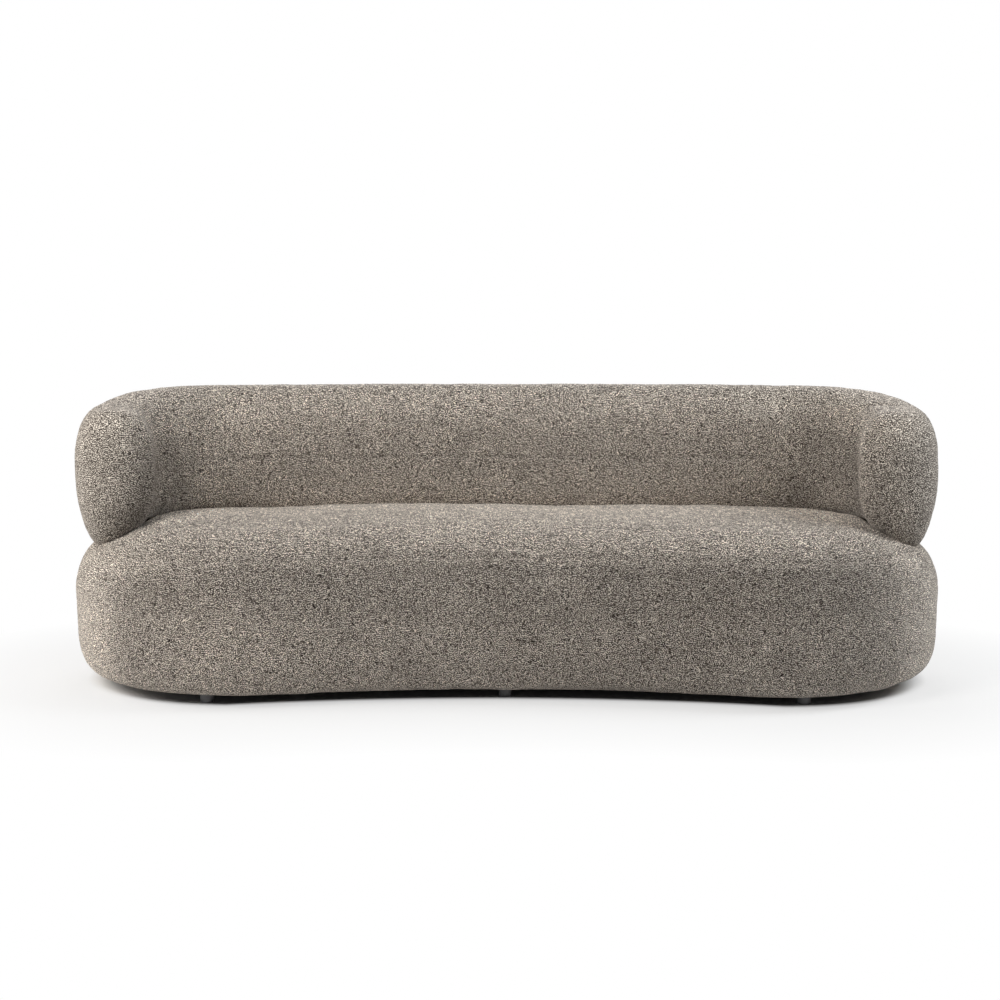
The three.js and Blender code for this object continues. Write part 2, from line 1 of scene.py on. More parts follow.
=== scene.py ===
# A three-seat curved sofa in looped fabric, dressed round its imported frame. Metres: X runs along
# the sofa, the front faces -Y and Z is up.

import json
import math

import bpy
import numpy as np
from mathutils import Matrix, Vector


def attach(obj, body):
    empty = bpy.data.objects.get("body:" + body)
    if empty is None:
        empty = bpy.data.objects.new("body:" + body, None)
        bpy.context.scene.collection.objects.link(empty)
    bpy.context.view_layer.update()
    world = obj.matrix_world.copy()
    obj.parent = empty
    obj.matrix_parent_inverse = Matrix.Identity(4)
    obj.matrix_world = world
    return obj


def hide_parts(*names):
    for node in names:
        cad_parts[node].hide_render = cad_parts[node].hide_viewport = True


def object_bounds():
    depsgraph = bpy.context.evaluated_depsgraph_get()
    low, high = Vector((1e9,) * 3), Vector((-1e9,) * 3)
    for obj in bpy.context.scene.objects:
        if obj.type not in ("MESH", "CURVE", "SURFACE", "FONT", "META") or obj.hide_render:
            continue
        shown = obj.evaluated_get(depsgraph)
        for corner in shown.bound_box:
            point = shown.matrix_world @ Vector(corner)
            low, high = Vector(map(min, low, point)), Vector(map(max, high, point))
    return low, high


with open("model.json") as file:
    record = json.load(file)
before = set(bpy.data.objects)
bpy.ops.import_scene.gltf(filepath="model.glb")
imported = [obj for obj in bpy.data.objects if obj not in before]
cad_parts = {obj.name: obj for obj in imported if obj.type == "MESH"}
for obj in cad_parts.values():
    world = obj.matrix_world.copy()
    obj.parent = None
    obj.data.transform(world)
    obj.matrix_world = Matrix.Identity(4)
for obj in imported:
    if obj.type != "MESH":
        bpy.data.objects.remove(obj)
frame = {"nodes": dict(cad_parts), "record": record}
cad_low, cad_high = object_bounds()

# Camera, in the photograph's frame
PHOTO_WIDTH_PX = 1000
FOCAL_LENGTH_PX = 1869.49
SENSOR_WIDTH_MM = 36
CAMERA_PLACE = (0.05098, -5.2422, 1.20104)
CAMERA_PITCH = math.radians(7.593)
CAMERA_YAW = math.radians(0.747)
CAMERA_REACH = 100

# Looped cloth: the size of its curls, strands and patches, and its colours
CURL_SIZE = 0.0038
CURL_REACH = 0.0085
STRAND_SIZE = 0.0031
FLUFF_SHARE = 0.48
LOOP_BUMP = 0.003
PATCH_SIZE = 0.09
# The darkest yarn colour is painted shade in the gaps between the curls
YARN_GAP_SHADE = (0.008, 0.006, 0.005)
YARN_MIDDLE = (0.184, 0.157, 0.135)
YARN_LIGHT = (0.955, 0.872, 0.768)
# Pale colour that the yarn is blended toward as a painted sheen
PAINTED_SHEEN_COLOUR = (0.66, 0.59, 0.52, 1.0)
SHEEN_TINT = (1.0, 0.91, 0.84, 1.0)

# Where the curls lie over: from a share of the full turn upward or inward, with a ragged edge, and
# inward only beyond a distance from the middle
LYING_FROM = 0.93
RAGGED_SIZE = 0.02
RAGGED_SHARE = 0.1
INWARD_FROM_X = 0.5

# How far the curls are drawn out, less with a larger share: along Y where the cloth stands, lies
# over or lies inside a wing, along X on the back, and along Z on the back and on the seat
STANDING_SHARE = 0.6
LYING_SHARE = 0.45
WING_SHARE = 0.26
LEVEL_SHARE = 0.87
UPRIGHT_SHARE = 0.94
HANGING_SHARE = 0.9

# Grain of the other looks: its sizes, how little it changes along wood, and its relief
FOAM_CELL = 0.0022
FOAM_TONE = 0.05
FOAM_RELIEF = 0.0008
FELT_FIBRE = 0.004
FELT_FLECK = 0.012
FELT_RELIEF = 0.001
WEB_RIB = 0.02
WEB_THREAD = 0.003
WEB_RELIEF = 0.0006
SPUNBOND_GRID = 0.0016
SPUNBOND_FIBRE = 0.003
SPUNBOND_RELIEF = 0.0003
WOOD_PORE = 0.0012
WOOD_RELIEF = 0.0002
WOOD_ALONG_SHARE = 0.06
VENEER_GRAIN = 0.02
VENEER_ALONG_SHARE = 0.08
VENEER_RELIEF = 0.0003
PLY_SPACING = 0.011
PLASTIC_PIT = 0.0007
PLASTIC_SCUFF = 0.012
STEEL_HAZE = 0.006
HARD_RELIEF = 0.0001

# Floor, the shade that the sofa leaves on it and the light that comes from all sides
FLOOR_REACH = 30
FLOOR_TONE = 0.93
FLOOR_BOUNCE = 0.75
SHADE_END = 0.395
SHADE_EDGE = 0.03
SHADE_STEP = 0.58
SHADE_SPREAD = 0.88
FADE_END = 0.95
WORLD_LIGHT = 0.1

# Lamps: name, place, target, width and height, power and colour
WARM_WHITE = (1.0, 0.975, 0.94)
LAMPS = (
    ("key_light", (-2.6, -3.2, 2.8), (0, 0, 0.5), (1.8, 1.8), 116, WARM_WHITE),
    ("right_light", (3.2, -0.6, 2.6), (0, 0, 0.5), (1.6, 1.6), 68, (0.95, 0.98, 1.0)),
    ("left_light", (-3.2, -0.6, 2.6), (0, 0, 0.5), (1.6, 1.6), 15, WARM_WHITE),
    ("side_light", (-3.6, 0, 1.0), (0, 0, 0.4), (1.6, 1.6), 20, (1.0, 0.98, 0.95)),
    ("back_light", (0, 3.6, 2.2), (0, 0.2, 0.5), (3.0, 1.2), 60, (1, 1, 1)),
)

# Plan of the sofa: a hollow front, a rounded end on each side and a gently bowed rear
SOFA_WIDTH = cad_high.x - cad_low.x
SOFA_DEPTH = cad_high.y - cad_low.y
FRONT_HOLLOW = 0.084
REAR_BOW = 0.051
END_RADIUS = (SOFA_DEPTH - REAR_BOW) / 2

# Seat, measured over the fabric
SEAT_UNDERSIDE = 0.034
SEAT_CREST = 0.435
SEAT_CROWN = 0.028
TOP_ROLL_HEIGHT = 0.158
TOP_ROLL_DEPTH = 0.187
TOP_ROLL_POWER = 2.27
BOTTOM_ROLL_HEIGHT = 0.085
BOTTOM_ROLL_DEPTH = 0.061
BOTTOM_ROLL_POWER = 2.2
SIDE_LEAN = 0.0025
CROWN_START_SHARE = 0.4
SEAT_HEM_WIDTH = 0.046

# Back, measured over the fabric on both sides of the line that its frame follows
BACK_HEIGHT = cad_high.z
BACK_INSET = 0.098
BACK_INNER_HALF = 0.108
OUTER_FOOT_DRAW = 0.057
INNER_FOOT_DRAW = 0.041
BACK_ROLL_HEIGHT = 0.143
BACK_ROLL_POWER = 2.33
RIDGE_HALF = 0.012
RIDGE_REACH_SHARE = 0.6
BELLY_SHARE = 0.85
NOSE_ANGLE = math.radians(17.5)
NOSE_DROP = 0.033
NOSE_DROP_REACH = 0.399
BACK_HEM_WIDTH = 0.025
FOOT_SINK = 0.001

# Mesh spacing before the subdivisions, and the layout of the covers' maps
PROFILE_STEPS = 60
SEAT_SPACING = 0.022
BACK_SPACING = 0.019
FINER_LEVELS = 2
FLAT_STRETCHES = 3
FLAT_FILL = 0.98

# Covers blown out over the foam, except where they are held: at their hems, at the panel seam and
# where the seat carries the back
MOST_SWELL = 0.006
MOST_SLIDE = 0.003
PRESSURE = 6.0
SWELL_FRAMES = 20
SEAT_HELD_ROW = 0.06
BACK_HELD_ROW = 0.012
CARRYING_INSET = 0.178
CARRYING_ROW = 0.5
CARRYING_Y = -0.19

# Foam fillings and feet
FOAM_VOXEL = 0.014
FOAM_SMOOTHING = 4
FOAM_SHRINK = 0.008
FOOT_SIDES = 48
FOOT_TOP_RADIUS = 0.020
FOOT_BOTTOM_RADIUS = 0.017
FOOT_SOLE_RADIUS = 0.0145
FOOT_TOP = 0.0319
SOLE_EDGE_WIDTH = 0.001
SOLE_EDGE_HEIGHT = 0.0012
SOLE_TOP = 0.004
STUD_RADIUS = 0.004
STUD_TOP = 0.0538

# Places on a cover are given by their row, which is the distance up from its hem, and by their
# distance along it from the middle of the front, negative on the left. A band is its two ends and
# the width of their soft edges. A spot is its two places and its reach both ways.

# Seams
PANEL_SEAM_ROW = 0.452
END_SEAM_ALONG = 1.022
END_SEAM_ROWS = (0.08, PANEL_SEAM_ROW, 0.03)
BACK_SEAM_ROW = 0.183
BACK_SEAM_BAND = (-1.0, 1.0, 0.05)
BACK_SEAM_DEPTH = 0.0025
SEAM_DEPTH = 0.003
SEAM_WIDTH = 0.005
MEETING_HALF = 0.06
SEAT_MEETING_Y = 0.0
BACK_MEETING_Y = 0.38

# Forms of the seat cover: fuller ends, a lower side and shoulder, a bulge beside each nose, whose
# spot is in X and Y, and dips in the middle, each with its place and reach along X
END_FULLNESS = 0.006
END_FULL_BAND = (0.8, 1.7, 0.2)
END_FULL_ROWS = (0.08, 0.42, 0.1)
LOWER_TRIM = 0.003
LOWER_TRIM_ROWS = (0.03, 0.15, 0.04)
SHOULDER_DROP = 0.014
SHOULDER_BAND = (0.98, 1.9, 0.1)
SHOULDER_ROWS = (0.46, 0.66, 0.07)
BULGE_HEIGHT = 0.012
BULGE_SPOT = (1.0, -0.165, 0.07, 0.12)
DIPS = ((-0.66, 0.18), (0.2, 0.2))
DIP_DEPTH = 0.007
DIP_Y = 0.22
DIP_LENGTH = 0.3
DIP_END_Y = 0.4
DIP_EDGE = 0.08
SEAT_DIP_ROW = 0.5
SEAT_DIP_EDGE = 0.1
BACK_DIP_ROW = 0.15

# Forms of the back cover: noses tucked in and sagging at the foot, trimmed wings, upright folds at
# the foot of the wings and a slanting crease
NOSE_TUCK = 0.010
NOSE_TUCK_BAND = (1.3, 1.75, 0.08)
NOSE_TUCK_ROW = 0.13
NOSE_SAG = 0.022
NOSE_SAG_ROW = 0.1
NOSE_SAG_X = 1.0
NOSE_SAG_X_EDGE = 0.1
NOSE_SAG_Y_EDGE = 0.2
WING_TRIM = 0.008
WING_TRIM_SPOT = (0.26, 1.68, 0.12, 0.2)
FOLDS = (-1.3, -1.12, 1.15)
FOLD_HEIGHT = 0.005
FOLD_ROW = 0.07
FOLD_LENGTH = 0.06
FOLD_WIDTH = 0.01
CREASE_DEPTH = 0.004
CREASE_WIDTH = 0.014
CREASE_ALONG = 1.158
CREASE_ROW = 0.36
CREASE_LEAN = 1.2
CREASE_ROWS = (0.32, 0.46, 0.04)

# Uneven filling and the raised curls of the cloth
LUMP_SIZE = 0.11
LUMP_HEIGHT = 0.006
PILE_SIZE = 0.007
PILE_HEIGHT = 0.002
NOISE_LEVEL = 0.35

# Painted light and shade of the seat, partly the lie of its pile
SEAT_LIGHT = 1.19
FRONT_SHADE = 0.28
FRONT_BAND = (-1.1, 1.1, 0.2)
FRONT_EDGE = 0.07
UNDER_SEAM_SHADE = 0.19
UNDER_SEAM_ROWS = (0.26, 0.6, 0.14)
RIGHT_SHADE = 0.06
RIGHT_BAND = (-0.1, 1.1, 0.3)
HEM_LIGHT = 0.4
HEM_ROW = 0.16
END_LIGHT = 0.22
END_LIGHT_ALONG = 0.98
END_LIGHT_EDGE = 0.05
TOP_SLOPE = 1.25
TOP_ROW = 0.57
BY_WINGS_LIGHT = 0.6
BY_WINGS_SPOT = (0.88, 0.08, 0.08, 0.16)
# Painted sheen over the far top of the seat and beside the wings
SEAT_PAINTED_SHEEN = 0.28
SEAT_PAINTED_SHEEN_ROW = 0.55
SEAT_PAINTED_SHEEN_EDGE = 0.3

# Painted light and shade of the back, partly its pile's lie: bands, the foot of its wings and of its middle
BACK_LIGHT = 1.01
RIDGE_LIGHT = 0.28
RIDGE_LIGHT_ROW = 0.24
RIDGE_LIGHT_EDGE = 0.12
INSIDE_ROWS = (-0.1, 0.36, 0.1)
LEFT_WING_SHADE = 0.19
LEFT_WING_START = -1.41
LEFT_WING_END = -0.935
LEFT_WING_SLANT = 0.59
LEFT_WING_EDGE = 0.04
RIGHT_WING_SHADE = 0.24
RIGHT_WING_BAND = (0.86, 1.3, 0.08)
WING_FOOT_SHADE = 0.4
WING_FOOT_ROW = 0.11
WING_FOOT_FROM = 1.3
BACK_FOOT_LIGHT = 0.2
BACK_FOOT_ROW = 0.17
BACK_FOOT_TO = 1.1
SEAM_SHADE = 0.3
SEAM_SHADE_WIDTH = 0.003
# Painted sheen on the noses of the back
NOSE_PAINTED_SHEEN = 0.07
NOSE_PAINTED_SHEEN_BAND = (1.38, 1.75, 0.08)

# Patches of painted light and shade over the pile: a spot by row and place along, and the share of light that
# it adds
SEAT_PAINTED_PATCHES = (
    (0.28, -0.70, 0.20, 0.16, 0.17),
    (0.22, -0.94, 0.14, 0.05, -0.16),
    (0.43, -0.93, 0.04, 0.10, 0.25),
    (0.42, 0.16, 0.08, 0.07, 0.20),
    (0.20, 0.50, 0.06, 0.16, -0.10),
    (0.25, 0.81, 0.12, 0.06, 0.12),
    (0.49, -0.75, 0.05, 0.20, -0.12),
    (0.65, 0.02, 0.15, 0.40, 0.12),
)
BACK_PAINTED_PATCHES = (
    (0.27, -0.74, 0.10, 0.13, 0.12),
    (0.26, -1.02, 0.07, 0.05, 0.20),
    (0.13, -0.93, 0.08, 0.05, 0.22),
    (0.31, -1.16, 0.05, 0.10, 0.22),
    (0.20, -1.30, 0.20, 0.05, -0.26),
    (0.08, -1.38, 0.08, 0.03, -0.42),
    (0.07, -0.89, 0.06, 0.05, 0.15),
    (0.11, -0.66, 0.06, 0.16, -0.06),
    (0.08, 0.88, 0.07, 0.07, -0.34),
    (0.17, 1.23, 0.12, 0.07, -0.12),
    (0.13, 1.385, 0.09, 0.02, -0.24),
    (0.28, 1.378, 0.08, 0.014, -0.12),
    (0.25, 1.30, 0.10, 0.06, 0.20),
    (0.32, 1.10, 0.07, 0.09, 0.14),
)

# Measures that follow from these
QUARTER = math.pi / 2
END_X = SOFA_WIDTH / 2 - END_RADIUS
END_Y = END_RADIUS - SOFA_DEPTH / 2
FRONT_RADIUS = (END_X**2 + FRONT_HOLLOW**2) / (2 * FRONT_HOLLOW) - END_RADIUS
FRONT_CENTRE_Y = FRONT_HOLLOW - SOFA_DEPTH / 2 - FRONT_RADIUS
REAR_RADIUS = END_RADIUS + (END_X**2 + REAR_BOW**2) / (2 * REAR_BOW)
REAR_CENTRE_Y = SOFA_DEPTH / 2 - REAR_RADIUS
FRONT_TURN = math.atan2(END_X, END_Y - FRONT_CENTRE_Y)
REAR_TURN = math.atan2(END_X, END_Y - REAR_CENTRE_Y)
SIDE_TOP = SEAT_CREST - TOP_ROLL_HEIGHT
SIDE_BOTTOM = SEAT_UNDERSIDE + BOTTOM_ROLL_HEIGHT
SPINE_END = END_X + (END_RADIUS - TOP_ROLL_DEPTH) / 2


# Plan and profiles
def arc(centre_x, centre_y, radius, start, end, spacing, hollow=1):
    """Rows of x, y, out x, out y along an arc of the plan, where out points away from the sofa."""
    steps = max(2, 2 * round(radius * abs(end - start) / spacing / 2))
    angles = np.linspace(start, end, steps + 1)
    ray = np.column_stack([np.cos(angles), np.sin(angles)])
    places = np.array([centre_x, centre_y]) + radius * ray
    return np.column_stack([places, hollow * ray])


def join(*parts):
    """Stretches of stations joined at their shared ends."""
    return np.vstack([part if i == 0 else part[1:] for i, part in enumerate(parts)])


def mirrored(half, signs):
    """A whole loop from its right half, whose first and last rows lie on the middle plane."""
    return np.vstack([half, half[-2:0:-1] * signs])


def crown_rise(inset):
    """How far the seat's crown rises at a distance in from the outline."""
    start = CROWN_START_SHARE * TOP_ROLL_DEPTH
    share = np.clip((inset - start) / (END_RADIUS - start), 0, 1)
    return SEAT_CROWN * np.sin(QUARTER * share)


def seat_top(inset):
    """Height of the seat's upper face at a distance in from the outline."""
    across = np.clip(1 - inset / TOP_ROLL_DEPTH, 0, 1)
    rise = (1 - across**TOP_ROLL_POWER) ** (1 / TOP_ROLL_POWER)
    return SEAT_CREST - TOP_ROLL_HEIGHT * (1 - rise) + crown_rise(inset)


def inset_at(x, y):
    """Distance of places of the plan from the outline."""
    x = np.abs(x)
    angle = np.arctan2(y - END_Y, x - END_X)
    rear = REAR_RADIUS - np.hypot(x, y - REAR_CENTRE_Y)
    front = np.hypot(x, y - FRONT_CENTRE_Y) - FRONT_RADIUS
    end = END_RADIUS - np.hypot(x - END_X, y - END_Y)
    return np.where(angle > QUARTER - REAR_TURN, rear, np.where(angle < -QUARTER - FRONT_TURN, front, end))


def seat_stations():
    """The right half of the seat's outline, from the middle of the front to the middle of the rear."""
    return join(
        arc(0, FRONT_CENTRE_Y, FRONT_RADIUS, QUARTER, QUARTER - FRONT_TURN, SEAT_SPACING, -1),
        arc(END_X, END_Y, END_RADIUS, -QUARTER - FRONT_TURN, QUARTER - REAR_TURN, SEAT_SPACING),
        arc(0, REAR_CENTRE_Y, REAR_RADIUS, QUARTER - REAR_TURN, QUARTER, SEAT_SPACING))


def evenly_spaced(rows, sizes, spacing):
    """Rows of a profile at even steps of its length, with that length as a last column."""
    lengths = np.linalg.norm(np.diff(rows * sizes, axis=0), axis=1)
    along = np.concatenate([[0], np.cumsum(lengths)])
    wanted = np.linspace(0, along[-1], round(along[-1] / spacing) + 1)
    columns = [np.interp(wanted, along, column) for column in rows.T]
    return np.column_stack(columns + [wanted])


def seat_profile():
    """Inset and height from the edge of the hem, under the seat, to where the top roll ends."""
    turn = np.linspace(0, QUARTER, PROFILE_STEPS)
    outward = np.sin(turn) ** (2 / BOTTOM_ROLL_POWER)
    down = np.cos(turn).clip(0) ** (2 / BOTTOM_ROLL_POWER)
    bottom = np.column_stack([SIDE_LEAN + BOTTOM_ROLL_DEPTH * (1 - outward),
                              SIDE_BOTTOM - BOTTOM_ROLL_HEIGHT * down])
    narrowed = 1 - np.cos(turn).clip(0) ** (2 / TOP_ROLL_POWER)
    inset = TOP_ROLL_DEPTH * narrowed
    top = np.column_stack([inset, SIDE_TOP + TOP_ROLL_HEIGHT * np.sin(turn) ** (2 / TOP_ROLL_POWER)
                           + crown_rise(inset)])
    hem = np.array([[SIDE_LEAN + BOTTOM_ROLL_DEPTH + SEAT_HEM_WIDTH, SEAT_UNDERSIDE]])
    return evenly_spaced(np.vstack([hem, bottom, top]), np.ones(2), SEAT_SPACING)


# Meshes
def loop_lengths(loop):
    """Distance along a loop from its first point, positive on the right half and negative on the left."""
    steps = np.linalg.norm(np.roll(loop, -1, axis=0) - loop, axis=1)
    along = np.concatenate([[0], np.cumsum(steps)[:-1]])
    return np.where(np.arange(len(loop)) <= len(loop) // 2, along, along - steps.sum())


def fold_index(count):
    """For each point of a loop, the point of the fold line that it closes on, from left to right."""
    half = count // 2
    index = np.arange(count)
    side = np.where(index <= half, 1, -1)
    station = np.where(index <= half, index, count - index)
    return half // 2 + side * np.minimum(station, half - station)


def skin(name, rings, rows, fold):
    """A mesh through rings of points, each a closed loop, the last of which closes on a fold line."""
    count = len(rings[0])
    first = np.arange(count)
    following = np.roll(first, -1)
    strips = [np.column_stack([first, following, following + count, first + count]) + ring * count
              for ring in range(len(rings) - 1)]
    base = (len(rings) - 1) * count
    target = fold_index(count) + len(rings) * count
    strips.append(np.column_stack([first + base, following + base, target[following], target[first]]))
    mesh = bpy.data.meshes.new(name)
    mesh.from_pydata(np.vstack(rings + [fold]).tolist(), [], np.vstack(strips).tolist())
    lay_flat(mesh, count, len(rings))
    alongs = np.concatenate([np.tile(loop_lengths(rings[0]), len(rings)), np.zeros(len(fold))])
    lengths = np.concatenate([np.repeat(rows[:-1], count), np.full(len(fold), rows[-1])])
    for label, values in (("along", alongs), ("row", lengths)):
        store(mesh, label, values)
    piece = bpy.data.objects.new(name, mesh)
    bpy.context.scene.collection.objects.link(piece)
    return piece


def lay_flat(mesh, count, rings):
    """Lays the loops out flat, cut into stretches that lie over each other."""
    stretch = math.ceil(count / FLAT_STRETCHES)
    station, ring = np.tile(np.arange(count), rings), np.repeat(np.arange(rings), count)
    row, column = station // stretch, station % stretch
    across = np.column_stack([column, column + 1, column + 1, column]) / stretch
    up = row[:, None] + FLAT_FILL * np.column_stack([ring, ring, ring + 1, ring + 1]) / rings
    flat = np.stack([across, up / FLAT_STRETCHES], axis=-1)
    mesh.uv_layers.new(name="OFBake").data.foreach_set("uv", flat.ravel())


def store(mesh, label, values):
    layer = mesh.attributes.new(label, "FLOAT", "POINT")
    layer.data.foreach_set("value", np.asarray(values, dtype=np.float32))


def recall(mesh, label):
    values = np.empty(len(mesh.vertices), dtype=np.float32)
    mesh.attributes[label].data.foreach_get("value", values)
    return values


def coordinates(mesh):
    values = np.empty(3 * len(mesh.vertices))
    mesh.vertices.foreach_get("co", values)
    return values.reshape(-1, 3)


def normals(mesh):
    values = np.empty(3 * len(mesh.vertices), dtype=np.float32)
    mesh.vertex_normals.foreach_get("vector", values)
    return values.reshape(-1, 3)


def place(mesh, points):
    mesh.vertices.foreach_set("co", points.ravel())
    mesh.update()


def bake(piece):
    """Applies a piece's modifiers to its mesh."""
    depsgraph = bpy.context.evaluated_depsgraph_get()
    done = bpy.data.meshes.new_from_object(piece.evaluated_get(depsgraph))
    old, name = piece.data, piece.data.name
    piece.modifiers.clear()
    piece.data = done
    bpy.data.meshes.remove(old)
    done.name = name


def subdivide(piece):
    modifier = piece.modifiers.new("finer", "SUBSURF")
    modifier.levels = modifier.render_levels = FINER_LEVELS
    bake(piece)


def on_loop(stations, reach, height):
    """Points at a distance out from each station, and at a height."""
    return np.column_stack([stations[:, :2] + stations[:, 2:4] * np.reshape(reach, (-1, 1)),
                            np.broadcast_to(height, len(stations))])


def seat_skin():
    stations = mirrored(seat_stations(), np.array([-1, 1, -1, 1]))
    profile = seat_profile()
    rings = [on_loop(stations, -inset, height) for inset, height, _ in profile]
    rows = list(profile[:, 2])
    half = len(stations) // 2
    share = np.linspace(-1, 1, half + 1)
    fold_x = SPINE_END * share
    bow = (FRONT_HOLLOW / 2 - END_Y) * (1 - np.clip(np.abs(fold_x) / END_X, 0, 1) ** 2)
    fold = np.column_stack([fold_x, END_Y + bow])
    inner = rings[-1][:, :2]
    across = fold[fold_index(len(stations))] - inner
    steps = round((END_RADIUS - TOP_ROLL_DEPTH) / SEAT_SPACING)
    for step in range(1, steps):
        plan = inner + across * step / steps
        rings.append(np.column_stack([plan, seat_top(inset_at(*plan.T))]))
        rows.append(rows[-1] + SEAT_SPACING)
    rows.append(rows[-1] + SEAT_SPACING)
    fold = np.column_stack([fold, seat_top(inset_at(*fold.T))])
    return skin("seat_upholstery", rings, np.array(rows), fold)


def back_stations():
    """The right half of the loop round the back's line: its sitting side, its nose and its outer side.

    Rows of x, y, out x, out y, share that is inner, and distance from the nose.
    """
    path = join(
        arc(0, REAR_CENTRE_Y, REAR_RADIUS - BACK_INSET, QUARTER, QUARTER - REAR_TURN, BACK_SPACING),
        arc(END_X, END_Y, END_RADIUS - BACK_INSET, QUARTER - REAR_TURN, -NOSE_ANGLE, BACK_SPACING))
    lengths = np.linalg.norm(np.diff(path[:, :2], axis=0), axis=1)
    from_nose = lengths.sum() - np.concatenate([[0], np.cumsum(lengths)])
    outer = np.column_stack([path, np.zeros(len(path)), from_nose])[::-1]
    inner = np.column_stack([path[:, :2], -path[:, 2:], np.ones(len(path)), from_nose])
    steps = 2 * round(math.pi * BACK_INNER_HALF / BACK_SPACING / 2)
    turn = np.linspace(math.pi, 0, steps + 1)[1:-1]
    nose = np.column_stack([np.tile(path[-1, :2], (len(turn), 1)), np.cos(-NOSE_ANGLE - turn),
                            np.sin(-NOSE_ANGLE - turn), (1 - np.cos(turn)) / 2, np.zeros(len(turn))])
    return np.vstack([inner, nose, outer])


def back_profile():
    """Rows of shares from the foot to the ridge: drawn in, risen to the roll, narrowed and raised by it."""
    turn = np.linspace(0, QUARTER, PROFILE_STEPS)
    zero = np.zeros_like(turn)
    tuck = np.column_stack([1 - np.sin(turn), BELLY_SHARE * (1 - np.cos(turn)), zero, zero])
    narrowed = 1 - np.cos(turn).clip(0) ** (2 / BACK_ROLL_POWER)
    roll = np.column_stack([zero, zero + 1, narrowed, np.sin(turn) ** (2 / BACK_ROLL_POWER)])
    roll_start = BACK_HEIGHT - BACK_ROLL_HEIGHT - SEAT_CREST
    sizes = np.array([OUTER_FOOT_DRAW, roll_start, BACK_INSET, BACK_ROLL_HEIGHT])
    return evenly_spaced(np.vstack([tuck, roll]), sizes, BACK_SPACING)


def back_skin():
    stations = mirrored(back_stations(), np.array([-1, 1, -1, 1, 1, 1]))
    inner, from_nose = stations[:, 4], stations[:, 5]
    half_width = BACK_INSET + (BACK_INNER_HALF - BACK_INSET) * inner
    foot_draw = OUTER_FOOT_DRAW + (INNER_FOOT_DRAW - OUTER_FOOT_DRAW) * inner
    near = np.clip(1 - from_nose / NOSE_DROP_REACH, 0, 1)
    ridge_drop = NOSE_DROP * near**2 * (3 - 2 * near)
    roll_start = BACK_HEIGHT - BACK_ROLL_HEIGHT - ridge_drop
    foot = on_loop(stations, half_width - foot_draw, 0)
    foot_height = seat_top(inset_at(*foot.T[:2])) - FOOT_SINK
    hem = on_loop(stations, half_width - foot_draw - BACK_HEM_WIDTH, 0)
    hem[:, 2] = seat_top(inset_at(*hem.T[:2])) - FOOT_SINK
    rings, rows = [hem], [-BACK_HEM_WIDTH]
    for drawn, rise, narrowed, raised, length in back_profile():
        reach = half_width + (RIDGE_HALF - half_width) * narrowed - foot_draw * drawn
        height = foot_height + (roll_start - foot_height) * rise + BACK_ROLL_HEIGHT * raised
        rings.append(on_loop(stations, reach, height))
        rows.append(length)
    ridge = rings[-1]
    quarter_loop = len(stations) // 4 + 1
    right = np.column_stack([stations[:quarter_loop, :2], ridge[:quarter_loop, 2]])
    round_nose = from_nose[:quarter_loop] == 0
    past = np.cumsum(round_nose)[round_nose] / round_nose.sum()
    forward = np.array([-math.sin(NOSE_ANGLE), -math.cos(NOSE_ANGLE)])
    right[round_nose, :2] += np.outer(past, forward) * RIDGE_REACH_SHARE * RIDGE_HALF
    fold = np.vstack([right[:0:-1] * [-1, 1, 1], right])
    rings.append((ridge + fold[fold_index(len(stations))]) / 2)
    rows += [rows[-1] + RIDGE_HALF / 2, rows[-1] + RIDGE_HALF]
    return skin("back_upholstery", rings, np.array(rows), fold)


# Materials
def new_look(name):
    look = bpy.data.materials.new(name)
    look.use_nodes = True
    return look


def add(look, kind, inputs=None, **settings):
    """A node of a material or the world, whose inputs are values or the outputs of other nodes."""
    made = look.node_tree.nodes.new("ShaderNode" + kind)
    for name, value in settings.items():
        setattr(made, name, value)
    for name, value in (inputs or {}).items():
        if isinstance(value, bpy.types.NodeSocket):
            look.node_tree.links.new(value, made.inputs[name])
        else:
            made.inputs[name].default_value = value
    return made


def surface(look, **inputs):
    """Sets the inputs of a material's main shader, named with _ for a space."""
    shader = look.node_tree.nodes["Principled BSDF"]
    for name, value in inputs.items():
        socket = shader.inputs[name.replace("_", " ")]
        if isinstance(value, bpy.types.NodeSocket):
            look.node_tree.links.new(value, socket)
        else:
            socket.default_value = value


def object_place(look):
    return add(look, "TexCoord").outputs["Object"]


def grain(look, place, size, detail=2.0, roughness=0.5, stretch=(1, 1, 1)):
    """Cloudy noise with features of about a size in metres."""
    at = add(look, "Mapping", {"Vector": place, "Scale": stretch}).outputs["Vector"]
    inputs = {"Vector": at, "Scale": 1 / size, "Detail": detail, "Roughness": roughness}
    return add(look, "TexNoise", inputs).outputs["Fac"]


def ramp(look, factor, *stops):
    """Colours or greys between places from 0 to 1."""
    made = add(look, "ValToRGB", {"Fac": factor})
    elements = made.color_ramp.elements
    while len(elements) < len(stops):
        elements.new(1)
    for element, (position, colour) in zip(elements, stops):
        element.position = position
        element.color = (*colour, 1) if isinstance(colour, tuple) else (colour, colour, colour, 1)
    return made.outputs["Color"]


def maths(look, operation, a, b=0.0):
    return add(look, "Math", {0: a, 1: b}, operation=operation).outputs["Value"]


def stretched(look, value, low, high, to_low=0.0, to_high=1.0):
    inputs = {"Value": value, "From Min": low, "From Max": high, "To Min": to_low, "To Max": to_high}
    return add(look, "MapRange", inputs).outputs["Result"]


def stored(look, label, output="Fac"):
    """What a cover's mesh stores under a label."""
    return add(look, "Attribute", attribute_name=label).outputs[output]


def mixed(look, share, first, second, blend="MIX"):
    """Two colours blended by a share of the second."""
    inputs = {0: share, 6: first, 7: second}
    return add(look, "Mix", inputs, data_type="RGBA", blend_type=blend).outputs[2]


